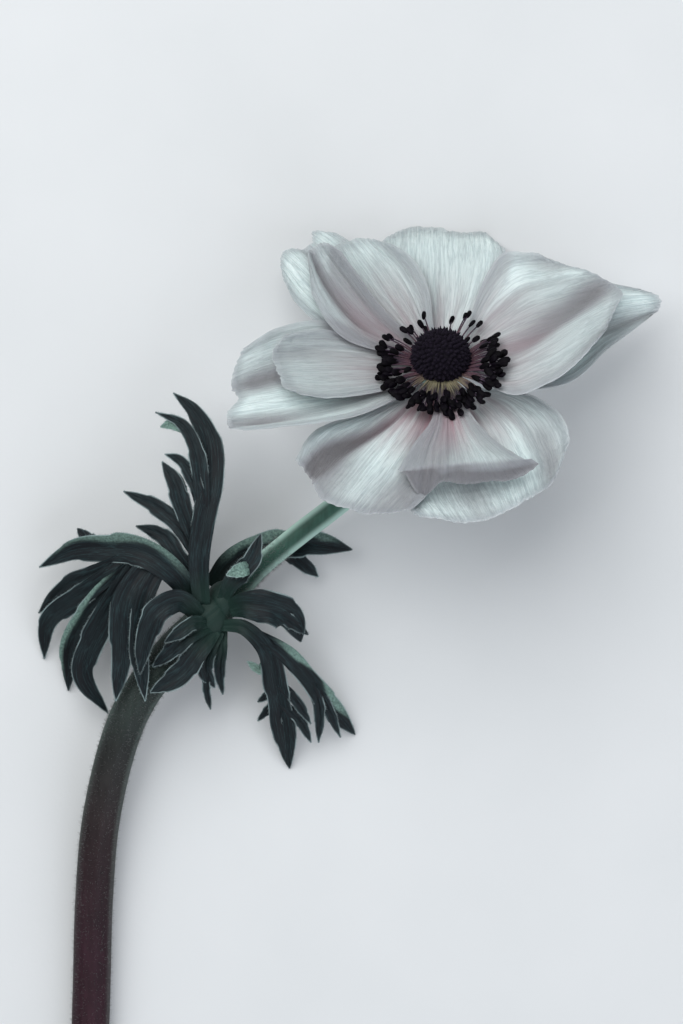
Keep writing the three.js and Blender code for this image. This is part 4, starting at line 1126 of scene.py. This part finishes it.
def plant_hair(name, colour):
    """Plant hairs: clear, silvery bristles that catch the light, uneven from one to the next."""
    material, node = blank_material(name)
    place = node("TexCoord", out="Object")
    # Brightness changes every 0.8 mm, so from hair to hair.
    odd = node("TexNoise", {"Vector": place, "Scale": 1200.0, "Detail": 1.0})
    level = node("MapRange", {"Value": odd, 1: 0.3, 2: 0.7})
    tone = node("Mix", {0: level, 6: colour, 7: linear("#7c8583")}, data_type="RGBA")
    shader = node("BsdfPrincipled", {"Base Color": tone, "Roughness": 0.35, "IOR": 1.5})
    node("OutputMaterial", {"Surface": shader})
    return material


def lobe_half(s, widest, place, root):
    """Half-width of a lobe: it swells in a quarter wave to its widest place and closes in a point."""
    swell = widest * (root + (1 - root) * np.sin(np.pi / 2 * np.minimum(s / place, 1)))
    t = np.clip((s - place) / (1 - place), 0, 1)
    return np.where(s < place, swell, np.maximum(LOBE_TIP_HALF * 0.4, widest * (1 - t**1.9) ** 0.85))


def toothed(draw, s, depth):
    """Share by which one side of a lobe is wider: slow rises and steep falls in the outer part."""
    teeth = np.mod(s * draw.uniform(2.6, 3.8) + draw.uniform(0, 1), 1)
    notch = smooth(0, 0.85, teeth) * smooth(1, 0.88, teeth) - 0.5
    return depth * notch * smooth(0.35, 0.5, s) * smooth(0.97, 0.8, s)


def lobe(widest, place, root, rib, settings, seed, pale, turned):
    """A lobe of a leaf: half-width aside of its rib, both halves folded up along a soft keel, with side
    veins sunk between swollen strips and a slightly waved margin."""
    s, v = crowded(LOBE_ROWS, LOBE_COLUMNS, 1.25)
    centre, way = catmull_even(rib, s)
    centre[:, 2] -= ROOT_SINK * smooth(0.22, 0, s)
    length = reached(centre)[-1]
    side = unit(np.cross(UP, way))
    half = lobe_half(s, widest, place, root)[:, None]
    draw = np.random.default_rng(seed)
    wider = [toothed(draw, s, settings.teeth)[:, None] for _ in range(2)]
    s, v = np.meshgrid(s, v, indexing="ij")
    aside = half * v * (1 + np.where(v < 0, *wider) * np.abs(v))
    keel = half * (np.sqrt(v**2 + KEEL_SOFTNESS) - math.sqrt(KEEL_SOFTNESS)) * LEAF_KEEL * 1.1
    grid = centre[:, None] + side[:, None] * aside[..., None] + UP * keel[..., None]
    strip = np.sin(2 * np.pi * (s * length / SIDE_VEIN_GAP - np.abs(v) * widest * 0.45))
    raised = settings.vein_relief * strip * np.abs(v) * (1 - v**2)
    raised = raised - RIB_GROOVE * bell(v * half / RIB_HALF)
    raised = raised + 0.12 * half * waves(seed + 1, s, 1.5, 4) * np.abs(v) ** 3
    grid = grid + grid_normals(grid) * raised[..., None]
    grid[..., 2] = np.maximum(grid[..., 2], TABLE_CLEARANCE)
    edge = np.minimum((1 - np.abs(v)) * half, (1 - s) * length)
    thickness = settings.leaf_thickness * (0.25 + 0.75 * smooth(0, 0.8, edge))
    points, faces = blade(grid, thickness, grid_normals(grid))
    # Near its root a lobe has no pale margin of down and painted highlight. Its pale side ends at a wavy
    # line.
    edge = edge + smooth(0.4, 0.2, s)
    start = 0.45 + 0.2 * waves(seed + 3, s, 1.2, 3.5)
    pale_strip = smooth(start, start + 0.3, np.sign(turned) * v) * smooth(0.12, 0.3, s) * smooth(0.95, 0.75, s)
    looks = dict(
        uv=twice(np.stack([0.5 + v * half / LEAF_UV[0], s * length / LEAF_UV[1]], -1)),
        edge=twice(edge),
        pale=twice(pale + abs(turned) * pale_strip),
    )
    return dict(points=points, faces=faces, grid=grid, side=side, way=way, **looks)


def sheath(ends, ways):
    """Clasping base of a leaf: part of a tube round the stem. Its ends lie on the stem's skin and its
    middle swells by half a sine wave; towards both sides it thins out on the stem."""
    u, k = np.linspace(0, 1, 25), np.linspace(0, 1, 65)
    turn = np.radians(ends[0] + (ends[1] - ends[0]) * k)[None]
    nearest, _, radius = stem_path(np.interp(ways[0] + (ways[1] - ways[0]) * u, *HUB_REACH))
    swell = np.sin(np.pi * u)[:, None]
    middle = radius[:, None] - 0.1 + SHEATH_SWELL * swell**0.8
    ribbed = (middle + 0.07 * np.sin(7 * turn + 1.0) * swell)[..., None]
    left = np.cross(UP, HUB_WAY)
    grid = nearest[:, None] + ribbed * (left * np.sin(turn)[..., None] + UP * np.cos(turn)[..., None])
    edge = np.minimum(np.minimum(u, 1 - u)[:, None] * 5, 10 * np.minimum(k, 1 - k)[None])
    points, faces = blade(grid, 0.12 + 0.5 * smooth(0, 1.5, edge), grid_normals(grid))
    uv = twice(np.stack([0.5 + 0.16 * (turn + 0 * edge), np.broadcast_to(u[:, None] * 0.1, edge.shape)], -1))
    return dict(points=points, faces=faces, uv=uv, edge=np.full(len(points), 5.0), pale=np.zeros(len(points)))


def fringe(lobes, settings, draw):
    """Roots and tips of the hairs along the lobes' margins, each pointing outwards and forwards."""
    roots, ways = [], []
    for part in lobes:
        for column, sign in ((0, -1), (-1, 1)):
            line = part["grid"][:, column]
            length = reached(line)
            at = draw.uniform(0.35, 1, int(length[-1] * settings.fringe_density)) * length[-1]
            out = sign * part["side"] + part["way"] * 0.7
            for found, known in ((roots, line), (ways, out)):
                found.append(np.stack([np.interp(at, length, known[:, axis]) for axis in range(3)], 1))
    roots, ways = np.concatenate(roots), unit(np.concatenate(ways))
    ways = unit(ways + draw.normal(0, 0.35, ways.shape))
    tips = roots + ways * (settings.fringe_length * draw.uniform(0.4, 1.2, len(roots)))[:, None]
    tips[:, 2] = np.maximum(tips[:, 2], 0.1)
    return roots, tips


def leaf(name, spec, settings, material, hair_material, seed):
    """A cut leaf: its clasping base and its lobes in one mesh, and a fringe of hairs."""
    parts = [sheath(spec["turns"], spec["ways"])]
    parts += [
        lobe(*values, settings, seed + LOBE_SEEDS * i, float(i in spec["pale"]), spec["turned"].get(i, 0))
        for i, values in enumerate(spec["lobes"])
    ]
    shift = np.cumsum([0] + [len(part["points"]) for part in parts])
    faces = [part["faces"] + first for part, first in zip(parts, shift)]
    points, uv, edge, pale = (
        np.concatenate([part[key] for part in parts]) for key in ("points", "uv", "edge", "pale")
    )
    hub = norm(points - HUB)[:, 0]
    piece(name + "_skin", points, faces, material, "leaf", [name], uv, edge=edge, hub=hub, pale=pale)
    roots, tips = fringe(parts[1:], settings, np.random.default_rng(seed))
    piece(name + "_hairs", *spikes(roots, tips, FRINGE_RADIUS), hair_material, "leaf")


def leaf_blade_material(settings):
    """Tough leaf under fine down: nearly black green with a violet cast, paler along its veins and at
    the margins, whose pale line is partly the down's own colour and partly a painted highlight where
    the hairs catch the light, and greener towards the base."""
    material, node = blank_material("leaf_blade")
    uv = node("UVMap", uv_map="UVMap")
    place = node("TexCoord", out="Object")
    edge, hub, pale = (
        node("Attribute", attribute_name=name, out="Fac") for name in ("edge", "hub", "pale")
    )
    lines = node("Mapping", {"Vector": uv, "Scale": (26.0, 5.0, 1.0)})
    # Parallel veins 0.6 mm apart, mottles of 5 mm, and down 0.4 mm apart.
    veins = node("TexNoise", {"Vector": lines, "Scale": 1.0, "Detail": 3.0})
    mottle = node("TexNoise", {"Vector": place, "Scale": 200.0, "Detail": 2.0})
    down = node("TexNoise", {"Vector": place, "Scale": 2600.0, "Detail": 2.0})
    off_line = node("Math", {0: veins, 1: 0.5}, operation="SUBTRACT")
    away = node("Math", {0: off_line}, operation="ABSOLUTE")
    thread = node("MapRange", {"Value": away, 1: 0.0, 2: 0.035, 3: 0.6, 4: 0.0})
    broad = node("MapRange", {"Value": veins, 1: 0.55, 2: 0.8, 3: 0.0, 4: 0.4})
    streak = node("Math", {0: thread, 1: broad}, operation="ADD", use_clamp=True)
    near, rim = (
        node("MapRange", {"Value": value, 1: low, 2: high, 3: most, 4: 0.0}, interpolation_type="SMOOTHSTEP")
        for value, low, high, most in ((hub, 5.0, 13.0, 0.75), (edge, 0.02, 0.24, 0.6))
    )
    # Pale margin line, partly the down's own colour and partly a painted highlight where the hairs catch the
    # light, patchy along the margin.
    rim_patches = node("MapRange", {"Value": mottle, 1: 0.4, 2: 0.62, 3: 0.3, 4: 1.0})
    downy_rim_highlight = node("Math", {0: rim, 1: rim_patches}, operation="MULTIPLY")
    downy = node("MapRange", {"Value": down, 1: 0.3, 2: 0.7, 3: 0.35, 4: 0.9})
    lower = node("Math", {0: pale, 1: downy}, operation="MULTIPLY")
    tone = settings.leaf_colour
    for cover, colour in (
        (mottle, linear("#101a1d")),
        (streak, linear("#2c4144")),
        (near, linear("#1d332c")),
        (lower, linear("#7c9a90")),
        (downy_rim_highlight, settings.margin_down_and_highlight_colour),
    ):
        tone = node("Mix", {0: cover, 6: tone, 7: colour}, data_type="RGBA")
    bump = node("Bump", {"Height": veins, "Strength": 0.6, "Distance": 0.0002})
    shader = node(
        "BsdfPrincipled",
        {
            "Base Color": tone,
            "Roughness": node("MapRange", {"Value": veins, 3: 0.5, 4: 0.7}),
            "IOR": 1.42,
            "Normal": node("Bump", {"Height": down, "Normal": bump, "Strength": 0.35, "Distance": 0.0001}),
            "Specular IOR Level": 0.25,
            "Sheen Weight": 0.1,
            "Sheen Roughness": 0.3,
            "Sheen Tint": linear("#a4bdb8"),
        },
    )
    node("OutputMaterial", {"Surface": shader})
    return material


def floor_paint(settings):
    """Matt plaster board under the flower: pale, with a faint trowelled grain."""
    material, node = blank_material("plaster_floor")
    place = node("TexCoord", out="Object")
    # Trowel marks 40 mm apart and grains of 1 mm.
    marks = node("TexNoise", {"Vector": place, "Scale": 25.0, "Detail": 3.0})
    grain = node("TexNoise", {"Vector": place, "Scale": 1000.0, "Detail": 1.0})
    tone = node("Mix", {0: marks, 6: settings.floor_colour, 7: linear("#d3d5d6")}, data_type="RGBA")
    bump = node("Bump", {"Height": grain, "Strength": 0.15, "Distance": 0.0001})
    shader = node("BsdfPrincipled", {"Base Color": tone, "Roughness": 0.85, "Normal": bump})
    node("OutputMaterial", {"Surface": shader})
    return material


def area_light(name, place, side, power, colour):
    """Square soft light at a place in the flower's frame, in mm, turned to the flower."""
    data = bpy.data.lights.new(name, "AREA")
    data.size = side
    data.energy = power
    data.color = linear(colour)[:3]
    lamp = bpy.data.objects.new(name, data)
    bpy.context.scene.collection.objects.link(lamp)
    place, aim = (np.array(p) + FLOWER_ORIGIN for p in (place, LIGHTS_AIM))
    lamp.location = place * MM
    lamp.rotation_mode = "QUATERNION"
    lamp.rotation_quaternion = Vector(aim - place).to_track_quat("-Z", "Y")


def make_stage(settings):
    """Floor, soft studio lights and the camera, which looks straight down on the flower as the
    photograph does, with a 150 mm lens 878 mm over the table."""
    reach = settings.floor_size / 2
    mesh = bpy.data.meshes.new("floor")
    corners = [(x * reach, y * reach, 0) for x, y in ((-1, -1), (1, -1), (1, 1), (-1, 1))]
    mesh.from_pydata(corners, [], [range(4)])
    mesh.materials.append(floor_paint(settings))
    floor = bpy.data.objects.new("floor", mesh)
    bpy.context.scene.collection.objects.link(floor)

    area_light("key", (-320.0, 410.0, 750.0), 0.9, settings.key_power, "#ffffff")
    area_light("fill", (420.0, -620.0, 600.0), 1.0, settings.fill_power, "#f3f6ff")
    world = bpy.data.worlds.new("studio")
    world.use_nodes = True
    background = world.node_tree.nodes["Background"].inputs
    background["Color"].default_value = linear("#dfe4e8")
    background["Strength"].default_value = settings.room_light
    bpy.context.scene.world = world
    bpy.context.scene.view_settings.view_transform = "Standard"

    data = bpy.data.cameras.new("camera")
    data.lens = LENS
    data.sensor_width = 36
    data.clip_start, data.clip_end = 0.05, 20
    camera = bpy.data.objects.new("camera", data)
    camera.location = (CAMERA_PLACE + FLOWER_ORIGIN) * MM
    bpy.context.scene.collection.objects.link(camera)
    bpy.context.scene.camera = camera


def number_property(name, description, default, **more):
    """Setting that is a number, in mm or a share as its description says."""
    return FloatProperty(name=name, description=description, default=default, **more)


def colour_property(name, description, code):
    """Colour setting with its default given as sRGB hex."""
    return FloatVectorProperty(
        name=name, description=description, default=linear(code), size=4, min=0, max=1, subtype="COLOR"
    )


class AnemonePetalSettings(bpy.types.PropertyGroup):
    """Sizes and colours of the petals."""

    thickness: number_property("Thickness", "Thickness of a petal, mm", 0.34, min=0.1, max=0.6)
    ridge: number_property("Ridges", "Height of the ridges along the veins, mm", 0.09)
    wave: number_property("Margin wave", "Height of the waves at the margins, mm", 0.25)
    crinkle: number_property("Crinkles", "Height of the fine crinkles, mm", 0.05)
    ragged: number_property("Raggedness", "Share by which the edge is uneven", 0.004)
    tissue_colour: colour_property("Tissue", "Colour between the fibres", "#e4f3f1")
    fibre_colour: colour_property("Fibres", "Colour of the silky fibres", "#b0c2c4")
    vein_colour: colour_property("Veins", "Colour along the veins", "#90a2a6")
    shade_colour: colour_property("Shade", "Grey of hollows and overlaps", "#838387")
    # Painted shade: the darkest grey, of deep folds and turned-down ends.
    deep_shade_colour: colour_property("Folds", "Grey of deep folds and turned-down ends", "#5c585b")
    flush_colour: colour_property("Flush", "Pink near the root", "#9c6c78")
    # Painted shade: the grey of the curled-up margin.
    rim_shade_colour: colour_property("Rim", "Colour of the curled margin", "#84898e")


class AnemoneHeartSettings(bpy.types.PropertyGroup):
    """Sizes and numbers of the stamens and carpels."""

    stamen_count: IntProperty(
        name="Stamens", description="Number before the back is thinned", default=210, min=20, max=240
    )
    filament_radius: number_property("Filament radius", "Radius of a stamen's thread, mm", 0.15)
    anther_length: number_property("Anther length", "Length of an anther, mm", 2.5)
    anther_radius: number_property("Anther radius", "Half the width of an anther, mm", 0.68)
    carpel_count: IntProperty(name="Carpels", description="Number on the dome", default=330)


class AnemoneGreenSettings(bpy.types.PropertyGroup):
    """Sizes and colours of the stem and the leaves."""

    rib: number_property("Ribs", "Share of its radius by which the stem is ribbed", 0.018)
    hair_count: IntProperty(name="Hairs", description="Number on the stem", default=12000)
    hair_radius: number_property("Hair radius", "Radius of a hair at its root, mm", 0.03)
    hair_length: number_property("Hair length", "Length of a hair on the stem, mm", 0.85)
    fringe_density: number_property("Fringe", "Hairs per mm of a leaf's margin", 4.0)
    fringe_length: number_property("Fringe length", "Length of a hair on a leaf, mm", 0.45)
    teeth: number_property("Teeth", "Depth of a lobe's teeth, as a share of its width", 0.16)
    leaf_thickness: number_property("Leaf thickness", "Thickness of a leaf, mm", 0.5)
    vein_relief: number_property("Vein relief", "Depth of the side veins, mm", 0.14)
    low_colour: colour_property("Scape", "Colour of the stem low down", "#2c121b")
    stalk_colour: colour_property("Flower stalk", "Colour of the smooth flower stalk", "#2c4b41")
    leaf_colour: colour_property("Leaf", "Colour of a leaf", "#0a0c12")
    # Partly the down's own colour and partly a painted highlight.
    margin_down_and_highlight_colour: colour_property("Leaf margin", "Colour of a leaf's downy margin", "#a3b7b8")


class AnemoneStageSettings(bpy.types.PropertyGroup):
    """Floor and light of the studio."""

    floor_size: number_property("Floor", "Side of the floor", 4.0, unit="LENGTH")
    floor_colour: colour_property("Floor", "Colour of the floor", "#c9cccd")
    key_power: number_property("Key light", "Power of the key light", 9.1, unit="POWER")
    fill_power: number_property("Fill light", "Power of the fill light", 5.3, unit="POWER")
    room_light: number_property("Room light", "Strength of the light from all sides", 0.42)


class ANEMONE_OT_petals(bpy.types.Operator):
    """Make the six outer and the five inner petals"""

    bl_idname = "anemone.petals"
    bl_label = "Petals"

    def execute(self, context):
        settings = context.scene.anemone_petals
        material = silken_petal(settings)
        shapes = {
            name: petal_shape(spec, settings, PETAL_SEEDS * i)
            for i, (name, spec) in enumerate(PETALS.items())
        }
        petal_layers(shapes)
        for name, shape in shapes.items():
            petal(name, shape, settings, material)
        return {"FINISHED"}


class ANEMONE_OT_stamens(bpy.types.Operator):
    """Make the ring of stamens: filaments on their disc, and anthers"""

    bl_idname = "anemone.stamens"
    bl_label = "Stamens"

    def execute(self, context):
        stamens(context.scene.anemone_heart, filament_tissue(), anther_skin())
        return {"FINISHED"}


class ANEMONE_OT_carpels(bpy.types.Operator):
    """Make the dome of carpels"""

    bl_idname = "anemone.carpels"
    bl_label = "Carpels"

    def execute(self, context):
        carpel_head(context.scene.anemone_heart, velvet_carpels())
        return {"FINISHED"}


class ANEMONE_OT_stem(bpy.types.Operator):
    """Make the stem with its hairs"""

    bl_idname = "anemone.stem"
    bl_label = "Stem"

    def execute(self, context):
        settings = context.scene.anemone_greens
        stem(settings, stem_skin_material(settings))
        stem_hairs(settings, plant_hair("stem_hair", linear("#5c5254")))
        return {"FINISHED"}


class ANEMONE_OT_leaves(bpy.types.Operator):
    """Make the three cut leaves with their fringes"""

    bl_idname = "anemone.leaves"
    bl_label = "Leaves"

    def execute(self, context):
        settings = context.scene.anemone_greens
        material = leaf_blade_material(settings)
        hair = plant_hair("leaf_hair", linear("#8fa3a6"))
        for i, (name, spec) in enumerate(LEAVES.items()):
            leaf(name, spec, settings, material, hair, LEAF_SEEDS * (i + 1))
        return {"FINISHED"}


class ANEMONE_OT_stage(bpy.types.Operator):
    """Make the floor, the lights and the camera"""

    bl_idname = "anemone.stage"
    bl_label = "Stage"

    def execute(self, context):
        make_stage(context.scene.anemone_stage)
        return {"FINISHED"}


STEPS = (
    ANEMONE_OT_stage,
    ANEMONE_OT_petals,
    ANEMONE_OT_stamens,
    ANEMONE_OT_carpels,
    ANEMONE_OT_stem,
    ANEMONE_OT_leaves,
)


class ANEMONE_PT_panel(bpy.types.Panel):
    """Lists the steps that dress the flower"""

    bl_idname = "ANEMONE_PT_panel"
    bl_label = "Anemone flower"
    bl_space_type = "VIEW_3D"
    bl_region_type = "UI"
    bl_category = "Anemone"

    def draw(self, context):
        for step in STEPS:
            self.layout.operator(step.bl_idname)


SETTINGS = {
    "anemone_petals": AnemonePetalSettings,
    "anemone_heart": AnemoneHeartSettings,
    "anemone_greens": AnemoneGreenSettings,
    "anemone_stage": AnemoneStageSettings,
}
CLASSES = (*SETTINGS.values(), *STEPS, ANEMONE_PT_panel)


def register():
    """Registers the classes and gives the scene its settings."""
    for item in CLASSES:
        bpy.utils.register_class(item)
    for key, group in SETTINGS.items():
        setattr(bpy.types.Scene, key, PointerProperty(type=group))


def unregister():
    """Takes the settings and classes away again."""
    for key in SETTINGS:
        delattr(bpy.types.Scene, key)
    for item in reversed(CLASSES):
        bpy.utils.unregister_class(item)


def main():
    """Makes every piece in order."""
    register()
    bpy.ops.anemone.stage()
    bpy.ops.anemone.petals()
    bpy.ops.anemone.stamens()
    bpy.ops.anemone.carpels()
    bpy.ops.anemone.stem()
    bpy.ops.anemone.leaves()


if __name__ == "__main__":
    main()
